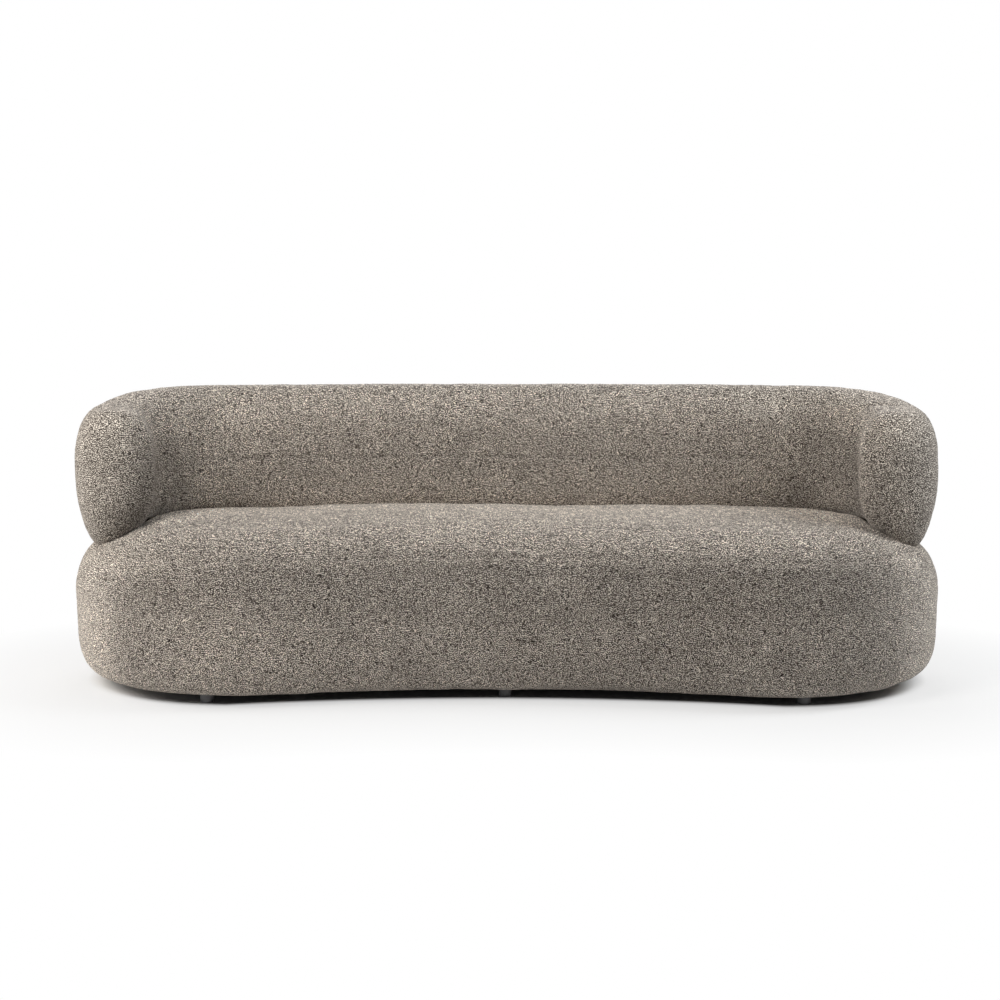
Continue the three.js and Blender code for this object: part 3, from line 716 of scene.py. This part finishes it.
def tinted(look, colour, tint):
    return mixed(look, 1.0, colour, tint, "MULTIPLY")


def bump(look, height, distance, strength=1.0):
    inputs = {"Height": height, "Distance": distance, "Strength": strength}
    return add(look, "Bump", inputs).outputs["Normal"]


def drawn_out(look, place):
    """Places of the cloth, shrunk along each axis so that the curls are drawn out there."""
    ragged = maths(look, "MULTIPLY", grain(look, place, RAGGED_SIZE, 1.0), RAGGED_SHARE)
    lying = maths(look, "GREATER_THAN", maths(look, "ADD", stored(look, "turned"), ragged), LYING_FROM)
    in_wing = maths(look, "GREATER_THAN", maths(look, "ADD", stored(look, "inward"), ragged), LYING_FROM)
    length = maths(look, "MULTIPLY", stretched(look, lying, 0.0, 1.0, STANDING_SHARE, LYING_SHARE),
                   stretched(look, in_wing, 0.0, 1.0, 1.0, WING_SHARE / LYING_SHARE))
    hanging = stored(look, "hanging")
    width = stretched(look, hanging, 0.0, 1.0, LEVEL_SHARE, 1.0)
    height = stretched(look, hanging, 0.0, 1.0, UPRIGHT_SHARE, HANGING_SHARE)
    shares = add(look, "CombineXYZ", {"X": width, "Y": length, "Z": height}).outputs["Vector"]
    return add(look, "VectorMath", {0: place, 1: shares}, operation="MULTIPLY").outputs["Vector"]


def looped_fabric():
    """Warm and grey beige curls over gaps painted as shade, toned in soft patches, with painted light and
    sheen.
    """
    look = new_look("looped_fabric")
    place = object_place(look)
    along_curls = drawn_out(look, place)
    inputs = {"Vector": along_curls, "Scale": 1 / CURL_REACH, "Frequency": CURL_REACH / CURL_SIZE,
              "Anisotropy": 0.0}
    curls = add(look, "TexGabor", inputs, gabor_type="3D").outputs["Value"]
    fluff = grain(look, along_curls, STRAND_SIZE, 1.0)
    loops = maths(look, "ADD", curls, stretched(look, fluff, 0.0, 1.0, -FLUFF_SHARE / 2, FLUFF_SHARE / 2))
    patches = grain(look, place, PATCH_SIZE, 3.0, 0.6)
    # Painted shade in the gaps between the curls, under the beige yarn
    yarn = ramp(look, loops, (0.35, YARN_GAP_SHADE), (0.5, YARN_MIDDLE), (0.66, YARN_LIGHT))
    yarn = tinted(look, yarn, ramp(look, patches, (0.3, 0.9), (0.7, 1.08)))
    # Painted light and shade of each cover, partly the lie of its pile, tint the yarn
    yarn = tinted(look, yarn, stored(look, "painted_light_and_nap", "Color"))
    # A painted sheen blends the yarn toward a pale colour
    yarn = mixed(look, stored(look, "painted_sheen"), yarn, PAINTED_SHEEN_COLOUR)
    surface(look, Base_Color=yarn, Roughness=0.95, Specular_IOR_Level=0.15, Sheen_Weight=0.4,
            Sheen_Roughness=0.4, Sheen_Tint=SHEEN_TINT, Normal=bump(look, fluff, LOOP_BUMP))
    return look


def foam():
    look = new_look("cut_foam")
    place = object_place(look)
    cells = add(look, "TexVoronoi", {"Vector": place, "Scale": 1 / FOAM_CELL}).outputs["Distance"]
    tone = grain(look, place, FOAM_TONE)
    colour = tinted(look, ramp(look, tone, (0.35, (0.62, 0.55, 0.4)), (0.65, (0.74, 0.68, 0.54))),
                    ramp(look, cells, (0.0, 0.8), (0.5, 1.0)))
    surface(look, Base_Color=colour, Roughness=0.9, Specular_IOR_Level=0.2,
            Normal=bump(look, cells, FOAM_RELIEF))
    return look


def felt():
    look = new_look("pressed_felt")
    place = object_place(look)
    fibres = grain(look, place, FELT_FIBRE, 6.0, 0.75, (1, 3, 1))
    flecks = grain(look, place, FELT_FLECK, 4.0, 0.7)
    colour = tinted(look, ramp(look, fibres, (0.3, (0.17, 0.165, 0.155)), (0.7, (0.36, 0.345, 0.32))),
                    ramp(look, flecks, (0.35, 0.8), (0.65, 1.15)))
    surface(look, Base_Color=colour, Roughness=0.95, Sheen_Weight=0.2, Normal=bump(look, fibres, FELT_RELIEF))
    return look


def webbing():
    """Elastic webbing: ribs across it, between threads that run along it."""
    look = new_look("elastic_webbing")
    place = object_place(look)
    inputs = {"Vector": place, "Scale": 1 / WEB_RIB, "Distortion": 0.4, "Detail Scale": 4.0}
    across = add(look, "TexWave", inputs, bands_direction="DIAGONAL").outputs["Fac"]
    fluff = grain(look, place, WEB_THREAD, 3.0, 0.6)
    colour = tinted(look, ramp(look, across, (0.2, (0.02, 0.02, 0.019)), (0.8, (0.07, 0.067, 0.062))),
                    ramp(look, fluff, (0.3, 0.75), (0.7, 1.2)))
    surface(look, Base_Color=colour, Roughness=0.8, Normal=bump(look, across, WEB_RELIEF))
    return look


def dust_cloth():
    """Thin spunbonded cloth, pressed in a fine grid of points."""
    look = new_look("spunbond_cloth")
    place = object_place(look)
    grid = {"Vector": place, "Scale": 1 / SPUNBOND_GRID, "Randomness": 0.0}
    points = add(look, "TexVoronoi", grid).outputs["Distance"]
    fibres = grain(look, place, SPUNBOND_FIBRE, 5.0, 0.7, (1, 4, 1))
    colour = tinted(look, ramp(look, fibres, (0.3, (0.006, 0.006, 0.006)), (0.7, (0.018, 0.018, 0.018))),
                    ramp(look, points, (0.2, 0.7), (0.5, 1.0)))
    surface(look, Base_Color=colour, Roughness=0.9, Normal=bump(look, points, SPUNBOND_RELIEF))
    return look


def wood(name, dark, light, ring_size, along, roughness):
    """Long grain with pores, along an axis."""
    look = new_look(name)
    place = object_place(look)
    stretch = tuple(WOOD_ALONG_SHARE if axis == along else 1.0 for axis in "XYZ")
    rings = grain(look, place, ring_size, 4.0, 0.6, stretch)
    pores = grain(look, place, WOOD_PORE, 2.0, 0.5, stretch)
    colour = tinted(look, ramp(look, rings, (0.3, dark), (0.7, light)),
                    ramp(look, pores, (0.35, 0.78), (0.55, 1.0)))
    surface(look, Base_Color=colour, Roughness=roughness, Normal=bump(look, pores, WOOD_RELIEF, 0.5))
    return look


def plywood():
    """Birch plywood, whose edges show the plies."""
    look = new_look("birch_plywood")
    place = object_place(look)
    veneer = grain(look, place, VENEER_GRAIN, 4.0, 0.6, (VENEER_ALONG_SHARE, 1, 1))
    inputs = {"Vector": place, "Scale": 1 / PLY_SPACING, "Distortion": 0.2}
    plies = add(look, "TexWave", inputs, bands_direction="Z").outputs["Fac"]
    upright = add(look, "SeparateXYZ", {"Vector": add(look, "NewGeometry").outputs["True Normal"]})
    edge = stretched(look, maths(look, "ABSOLUTE", upright.outputs["Z"]), 0.7, 0.3)
    plain = ramp(look, veneer, (0.3, (0.5, 0.35, 0.19)), (0.7, (0.66, 0.49, 0.29)))
    layered = ramp(look, plies, (0.4, (0.3, 0.18, 0.09)), (0.6, (0.62, 0.45, 0.26)))
    surface(look, Base_Color=mixed(look, edge, plain, layered), Roughness=0.65,
            Normal=bump(look, veneer, VENEER_RELIEF, 0.5))
    return look


def foot_plastic():
    look = new_look("moulded_plastic")
    place = object_place(look)
    pits = grain(look, place, PLASTIC_PIT)
    scuffs = grain(look, place, PLASTIC_SCUFF, 4.0, 0.7)
    colour = ramp(look, scuffs, (0.3, (0.27, 0.27, 0.285)), (0.7, (0.35, 0.35, 0.366)))
    surface(look, Base_Color=colour, Roughness=ramp(look, scuffs, (0.3, 0.4), (0.7, 0.6)),
            Normal=bump(look, pits, HARD_RELIEF))
    return look


def zinc_steel():
    look = new_look("zinc_plated_steel")
    haze = grain(look, object_place(look), STEEL_HAZE, 4.0, 0.65)
    surface(look, Base_Color=ramp(look, haze, (0.3, (0.4, 0.41, 0.43)), (0.7, (0.56, 0.56, 0.55))),
            Metallic=1.0, Roughness=ramp(look, haze, (0.3, 0.28), (0.7, 0.45)),
            Normal=bump(look, haze, HARD_RELIEF))
    return look


looks = {
    "fabric": looped_fabric(),
    "foam": foam(),
    "felt": felt(),
    "webbing": webbing(),
    "dust_cloth": dust_cloth(),
    "plywood": plywood(),
    "timber": wood("pine", (0.45, 0.28, 0.13), (0.66, 0.47, 0.26), 0.012, "Z", 0.7),
    "hardboard": wood("hardboard", (0.2, 0.11, 0.055), (0.3, 0.17, 0.09), 0.003, "X", 0.75),
    "foot": foot_plastic(),
    "steel": zinc_steel(),
}


# Upholstery
def dress(piece, slot, *nodes):
    """A piece that stands for nodes of the frame, in the look of a slot."""
    piece.data.polygons.foreach_set("use_smooth", [True] * len(piece.data.polygons))
    piece.data.materials.clear()
    piece.data.materials.append(looks[slot])
    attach(piece, "root")
    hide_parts(*nodes)


def swell(piece, held):
    """Blows a cover out like cloth over foam, where no point sinks or goes further than it may."""
    mesh = piece.data
    start, out = coordinates(mesh), normals(mesh)
    piece.vertex_groups.new(name="held").add(np.flatnonzero(held).tolist(), 1.0, "REPLACE")
    cloth = piece.modifiers.new("cloth", "CLOTH")
    cloth.point_cache.frame_end = SWELL_FRAMES
    rules = cloth.settings
    rules.quality = 5
    rules.mass = 0.3
    rules.tension_stiffness = rules.compression_stiffness = rules.shear_stiffness = 15
    rules.bending_stiffness = 1.0
    rules.use_pressure = True
    rules.uniform_pressure_force = PRESSURE
    rules.vertex_group_mass = "held"
    rules.effector_weights.gravity = 0
    cloth.collision_settings.use_collision = False
    for step in range(1, SWELL_FRAMES + 1):
        bpy.context.scene.frame_set(step)
    blown = piece.evaluated_get(bpy.context.evaluated_depsgraph_get())
    moved = coordinates(blown.to_mesh()) - start
    blown.to_mesh_clear()
    piece.modifiers.clear()
    piece.vertex_groups.clear()
    bpy.context.scene.frame_set(1)
    rise = (moved * out).sum(axis=1, keepdims=True)
    slide = moved - rise * out
    far = np.linalg.norm(slide, axis=1, keepdims=True)
    slide *= np.minimum(1, MOST_SLIDE / np.maximum(far, 1e-9))
    place(mesh, start + np.clip(rise, 0, MOST_SWELL) * out + slide)


def valley(distance, width):
    return -np.exp(-(distance / width) ** 2)


def rising(values, start, width):
    """From 0 at a value to 1 at a width beyond it."""
    return np.clip((values - start) / width, 0, 1)


def falling(values, end, width):
    """From 1 at a width before a value to 0 at it."""
    return np.clip((end - values) / width, 0, 1)


def between(values, low, high, edge):
    """1 between two values and 0 outside them, with soft edges."""
    return rising(values, low, edge) * falling(values, high, edge)


def raise_points(piece, heights):
    """Moves points along their normals."""
    mesh = piece.data
    place(mesh, coordinates(mesh) + normals(mesh) * heights[:, None])


def lie_of_loops(piece):
    """Stores how far each point turns upward or in between the wings, where the loops lie over."""
    out, places = normals(piece.data), coordinates(piece.data)
    by_ends = np.abs(places[:, 0]) > INWARD_FROM_X
    inward = np.clip(-out[:, 0] * np.sign(places[:, 0]), 0, 1) * by_ends
    store(piece.data, "inward", inward)
    store(piece.data, "turned", np.hypot(np.clip(out[:, 2], 0, 1), inward))


def raise_by_noise(piece, name, size, height):
    """Raises points by cloudy noise, and sinks them where it is under its level."""
    clouds = bpy.data.textures.new(name, "CLOUDS")
    clouds.noise_scale = size
    clouds.noise_depth = 1
    modifier = piece.modifiers.new(name, "DISPLACE")
    modifier.texture = clouds
    modifier.texture_coords = "LOCAL"
    modifier.strength = height
    modifier.mid_level = NOISE_LEVEL
    bake(piece)


def spot(first, second, at_first, at_second, first_reach, second_reach):
    """1 at a place, fading away from it both ways."""
    return np.exp(-((first - at_first) / first_reach) ** 2 - ((second - at_second) / second_reach) ** 2)


def settled(piece, share):
    """Lowers points by a share of the dips in the middle of the seat."""
    places = coordinates(piece.data)
    sunk = sum(spot(places[:, 0], places[:, 1], x, DIP_Y, wide, DIP_LENGTH) for x, wide in DIPS)
    sunk *= falling(places[:, 1], DIP_END_Y, DIP_EDGE)
    places[:, 2] -= DIP_DEPTH * sunk * share
    place(piece.data, places)


def patched(light, row, along, patches):
    """Light with the patches' shares added."""
    for *where, share in patches:
        light = light * (1 + share * spot(row, along, *where))
    return light


def seat_painted_light_and_nap(row, along):
    """Painted light and shade, partly the pile's lie, on the seat, darkest under the panel seam in front."""
    front = between(along, *FRONT_BAND) * falling(row, PANEL_SEAM_ROW + FRONT_EDGE / 2, FRONT_EDGE)
    light = SEAT_LIGHT - FRONT_SHADE * front - UNDER_SEAM_SHADE * front * between(row, *UNDER_SEAM_ROWS)
    light -= RIGHT_SHADE * front * between(along, *RIGHT_BAND)
    light *= 1 + HEM_LIGHT * falling(row, HEM_ROW, HEM_ROW)
    light *= 1 + END_LIGHT * rising(np.abs(along), END_LIGHT_ALONG, END_LIGHT_EDGE)
    light *= 1 + TOP_SLOPE * (row > PANEL_SEAM_ROW) * (row - TOP_ROW)
    return patched(light, row, along, SEAT_PAINTED_PATCHES)


def back_painted_light_and_nap(row, along):
    """The same for the back: painted light over its top and corners, painted shade inside its wings."""
    inside = between(row, *INSIDE_ROWS)
    left_end = LEFT_WING_END - LEFT_WING_SLANT * row
    light = BACK_LIGHT + RIDGE_LIGHT * rising(row, RIDGE_LIGHT_ROW, RIDGE_LIGHT_EDGE)
    light -= LEFT_WING_SHADE * inside * between(along, LEFT_WING_START, left_end, LEFT_WING_EDGE)
    light -= RIGHT_WING_SHADE * inside * between(along, *RIGHT_WING_BAND)
    light -= WING_FOOT_SHADE * falling(row, WING_FOOT_ROW, WING_FOOT_ROW) * (np.abs(along) > WING_FOOT_FROM)
    light += BACK_FOOT_LIGHT * falling(row, BACK_FOOT_ROW, BACK_FOOT_ROW) * (np.abs(along) < BACK_FOOT_TO)
    light = patched(light, row, along, BACK_PAINTED_PATCHES)
    seam = between(along, *BACK_SEAM_BAND) * valley(row - BACK_SEAM_ROW, SEAM_SHADE_WIDTH)
    return light * (1 + SEAM_SHADE * seam)


def way_round(cover, rear_from):
    """How far round its cover each point lies, mended behind, where the ends of the loop meet."""
    along, places = recall(cover.data, "along"), coordinates(cover.data)
    meeting = (places[:, 1] > rear_from) & (np.abs(places[:, 0]) < MEETING_HALF)
    return np.where(meeting, along.max(), along)


def seat_cover():
    cover = seat_skin()
    places, row = coordinates(cover.data), recall(cover.data, "row")
    near_edge = (inset_at(places[:, 0], places[:, 1]) < CARRYING_INSET) & (places[:, 1] > CARRYING_Y)
    carries_back = near_edge & (row > CARRYING_ROW)
    seam = np.abs(row - PANEL_SEAM_ROW) < SEAT_SPACING / 2
    swell(cover, (row < SEAT_HELD_ROW) | carries_back | seam)
    subdivide(cover)
    raise_by_noise(cover, "lumps", LUMP_SIZE, LUMP_HEIGHT)
    row, along_signed = recall(cover.data, "row"), way_round(cover, SEAT_MEETING_Y)
    along = np.abs(along_signed)
    upper = row > PANEL_SEAM_ROW
    heights = SEAM_DEPTH * valley(row - PANEL_SEAM_ROW, SEAM_WIDTH)
    heights += SEAM_DEPTH * valley(along - END_SEAM_ALONG, SEAM_WIDTH) * between(row, *END_SEAM_ROWS)
    heights += END_FULLNESS * between(along, *END_FULL_BAND) * between(row, *END_FULL_ROWS)
    heights -= LOWER_TRIM * between(row, *LOWER_TRIM_ROWS)
    x, y, _ = coordinates(cover.data).T
    heights += BULGE_HEIGHT * spot(np.abs(x), y, *BULGE_SPOT) * upper
    heights -= SHOULDER_DROP * between(along, *SHOULDER_BAND) * between(row, *SHOULDER_ROWS)
    raise_points(cover, heights)
    settled(cover, rising(row, SEAT_DIP_ROW, SEAT_DIP_EDGE))
    lie_of_loops(cover)
    # Painted light and painted sheen beside the wings, painted sheen over the far top
    by_wings = spot(np.abs(x), y, *BY_WINGS_SPOT) * upper
    painted_sheen = np.maximum(rising(row, SEAT_PAINTED_SHEEN_ROW, SEAT_PAINTED_SHEEN_EDGE), by_wings)
    # Painted light and shade, partly the lie of the pile, with painted light beside the wings
    store(cover.data, "painted_light_and_nap", seat_painted_light_and_nap(row, along_signed) * (1 + BY_WINGS_LIGHT * by_wings))
    store(cover.data, "painted_sheen", SEAT_PAINTED_SHEEN * painted_sheen)
    store(cover.data, "hanging", np.ones(len(row)))
    raise_by_noise(cover, "pile", PILE_SIZE, PILE_HEIGHT)
    dress(cover, "fabric", "seat_cover")


def back_cover():
    cover = back_skin()
    swell(cover, recall(cover.data, "row") < BACK_HELD_ROW)
    subdivide(cover)
    raise_by_noise(cover, "lumps", LUMP_SIZE, LUMP_HEIGHT)
    row, along = recall(cover.data, "row"), way_round(cover, BACK_MEETING_Y)
    seamed = between(along, *BACK_SEAM_BAND)
    heights = BACK_SEAM_DEPTH * valley(row - BACK_SEAM_ROW, SEAM_WIDTH) * seamed
    for fold in FOLDS:
        heights += FOLD_HEIGHT * spot(row, along, FOLD_ROW, fold, FOLD_LENGTH, FOLD_WIDTH)
    crease = valley(along - CREASE_ALONG - CREASE_LEAN * (row - CREASE_ROW), CREASE_WIDTH)
    heights += CREASE_DEPTH * crease * between(row, *CREASE_ROWS)
    tucked = between(np.abs(along), *NOSE_TUCK_BAND) * falling(row, NOSE_TUCK_ROW, NOSE_TUCK_ROW)
    heights -= NOSE_TUCK * tucked
    heights -= WING_TRIM * spot(row, along, *WING_TRIM_SPOT)
    raise_points(cover, heights)
    places = coordinates(cover.data)
    outer = rising(np.abs(places[:, 0]), NOSE_SAG_X, NOSE_SAG_X_EDGE)
    sag = outer * falling(places[:, 1], 0, NOSE_SAG_Y_EDGE) * falling(row, NOSE_SAG_ROW, NOSE_SAG_ROW)
    places[:, 2] -= NOSE_SAG * sag
    place(cover.data, places)
    settled(cover, falling(row, BACK_DIP_ROW, BACK_DIP_ROW))
    lie_of_loops(cover)
    # Painted light and shade of the back, partly the lie of its pile
    store(cover.data, "painted_light_and_nap", back_painted_light_and_nap(row, along))
    # Painted sheen on the noses
    store(cover.data, "painted_sheen", NOSE_PAINTED_SHEEN * between(np.abs(along), *NOSE_PAINTED_SHEEN_BAND))
    raise_by_noise(cover, "pile", PILE_SIZE, PILE_HEIGHT)
    dress(cover, "fabric", "back_cover")


def filling(name):
    """Foam in the shape of its solid, softened and a little smaller."""
    foam_node = frame["nodes"][name]
    piece = bpy.data.objects.new(name + "_filling", foam_node.data.copy())
    piece.matrix_world = foam_node.matrix_world.copy()
    bpy.context.scene.collection.objects.link(piece)
    remesh = piece.modifiers.new("remesh", "REMESH")
    remesh.mode = "VOXEL"
    remesh.voxel_size = FOAM_VOXEL
    softer = piece.modifiers.new("softer", "SMOOTH")
    softer.iterations = FOAM_SMOOTHING
    bake(piece)
    raise_points(piece, np.full(len(piece.data.vertices), -FOAM_SHRINK))
    dress(piece, "foam", name)


def foot(name):
    """A turned foot with a softened edge, standing where its solid stands."""
    solid = frame["nodes"][name]
    corners = [solid.matrix_world @ Vector(corner) for corner in solid.bound_box]
    middle = sum(corners, Vector()) / len(corners)
    profile = [(FOOT_SOLE_RADIUS, 0), (FOOT_BOTTOM_RADIUS - SOLE_EDGE_WIDTH, SOLE_EDGE_HEIGHT),
               (FOOT_BOTTOM_RADIUS, SOLE_TOP), (FOOT_TOP_RADIUS, FOOT_TOP), (STUD_RADIUS, FOOT_TOP),
               (STUD_RADIUS, STUD_TOP)]
    turns = np.linspace(0, 2 * math.pi, FOOT_SIDES, endpoint=False)
    points = [(middle.x + radius * math.cos(turn), middle.y + radius * math.sin(turn), height)
              for radius, height in profile for turn in turns]
    faces = [[ring * FOOT_SIDES + side, ring * FOOT_SIDES + (side + 1) % FOOT_SIDES,
              (ring + 1) * FOOT_SIDES + (side + 1) % FOOT_SIDES, (ring + 1) * FOOT_SIDES + side]
             for ring in range(len(profile) - 1) for side in range(FOOT_SIDES)]
    faces.append(list(reversed(range(FOOT_SIDES))))
    faces.append(list(range(len(points) - FOOT_SIDES, len(points))))
    mesh = bpy.data.meshes.new(name + "_turned")
    mesh.from_pydata(points, [], faces)
    piece = bpy.data.objects.new(name + "_turned", mesh)
    bpy.context.scene.collection.objects.link(piece)
    dress(piece, "foot", name)


seat_cover()
back_cover()
FOAMS = ("seat_foam", "edge_foam", "back_foam", "back_top_foam")
for name in FOAMS:
    filling(name)
FEET = [name for name in frame["nodes"] if name.startswith("foot_")]
for name in FEET:
    foot(name)

# Frame pieces that keep their solids
replaced = {"seat_cover", "back_cover", *FOAMS, *FEET}
for subpart in frame["record"]["subparts"]:
    if subpart["node"] not in replaced:
        shown = frame["nodes"][subpart["node"]]
        for slot in shown.material_slots:
            slot.link = "OBJECT"
            slot.material = looks[subpart["material_slot"]]


# Floor, light and camera
def area_light(name, place, target, sides, power, colour):
    lamp = bpy.data.lights.new(name, "AREA")
    lamp.shape = "RECTANGLE"
    lamp.size, lamp.size_y = sides
    lamp.energy = power
    lamp.color = colour
    light = bpy.data.objects.new(name, lamp)
    light.location = place
    light.rotation_euler = (Vector(target) - Vector(place)).to_track_quat("-Z", "Y").to_euler()
    bpy.context.scene.collection.objects.link(light)


def distance_from_middle(look):
    """Distance on the floor from a line along the middle of the sofa, bowed as its front is."""
    at = add(look, "SeparateXYZ", {"Vector": object_place(look)})
    from_middle = maths(look, "ABSOLUTE", at.outputs["X"])
    bow = maths(look, "POWER", stretched(look, from_middle, 0.0, END_X), 2.0)
    across = maths(look, "SUBTRACT", at.outputs["Y"], stretched(look, bow, 0.0, 1.0, FRONT_HOLLOW, 0.0))
    past_end = maths(look, "MAXIMUM", maths(look, "SUBTRACT", from_middle, END_X))
    sideways = maths(look, "MULTIPLY", past_end, SHADE_SPREAD)
    offset = add(look, "CombineXYZ", {"X": sideways, "Y": across}).outputs["Vector"]
    return add(look, "VectorMath", {0: offset}, operation="LENGTH").outputs["Value"]


def pale_floor():
    """Matt floor that fades into the plain white round it away from the sofa."""
    mesh = bpy.data.meshes.new("floor")
    reach = FLOOR_REACH
    mesh.from_pydata([(-reach, -reach, 0), (reach, -reach, 0), (reach, reach, 0), (-reach, reach, 0)], [],
                     [(0, 1, 2, 3)])
    floor = bpy.data.objects.new("floor", mesh)
    bpy.context.scene.collection.objects.link(floor)
    look = new_look("pale_floor")
    nodes, links = look.node_tree.nodes, look.node_tree.links
    away = distance_from_middle(look)
    edge = stretched(look, away, SHADE_END - SHADE_EDGE, SHADE_END, 0.0, SHADE_STEP)
    fade = maths(look, "ADD", edge, stretched(look, away, SHADE_END, FADE_END, 0.0, 1 - SHADE_STEP))
    seen = add(look, "LightPath").outputs["Is Camera Ray"]
    tone = stretched(look, seen, 0.0, 1.0, FLOOR_BOUNCE, FLOOR_TONE)
    white = add(look, "Emission", {"Color": (1, 1, 1, 1), "Strength": 1.0})
    both = add(look, "MixShader", {"Fac": maths(look, "MULTIPLY", seen, fade)})
    surface(look, Base_Color=tone, Roughness=1.0, Specular_IOR_Level=0.0)
    links.new(nodes["Principled BSDF"].outputs[0], both.inputs[1])
    links.new(white.outputs[0], both.inputs[2])
    links.new(both.outputs[0], nodes["Material Output"].inputs["Surface"])
    mesh.materials.append(look)


def white_surroundings():
    """White for the camera, mirrors and glass, and dimmer as a light."""
    world = bpy.data.worlds.new("studio")
    world.use_nodes = True
    bpy.context.scene.world = world
    rays = add(world, "LightPath").outputs
    mirrored = maths(world, "MAXIMUM", rays["Is Glossy Ray"], rays["Is Transmission Ray"])
    plain = maths(world, "MAXIMUM", rays["Is Camera Ray"], mirrored)
    background = world.node_tree.nodes["Background"]
    background.inputs["Color"].default_value = (1, 1, 1, 1)
    strength = stretched(world, plain, 0.0, 1.0, WORLD_LIGHT, 1.0)
    world.node_tree.links.new(strength, background.inputs["Strength"])


def photo_camera():
    lens = bpy.data.cameras.new("camera")
    lens.sensor_width = SENSOR_WIDTH_MM
    lens.lens = FOCAL_LENGTH_PX / PHOTO_WIDTH_PX * SENSOR_WIDTH_MM
    lens.clip_end = CAMERA_REACH
    camera = bpy.data.objects.new("camera", lens)
    camera.location = CAMERA_PLACE
    camera.rotation_euler = (QUARTER - CAMERA_PITCH, 0, CAMERA_YAW)
    bpy.context.scene.collection.objects.link(camera)
    bpy.context.scene.camera = camera


pale_floor()
white_surroundings()
photo_camera()
for lamp in LAMPS:
    area_light(*lamp)
bpy.context.scene.view_settings.view_transform = "Standard"
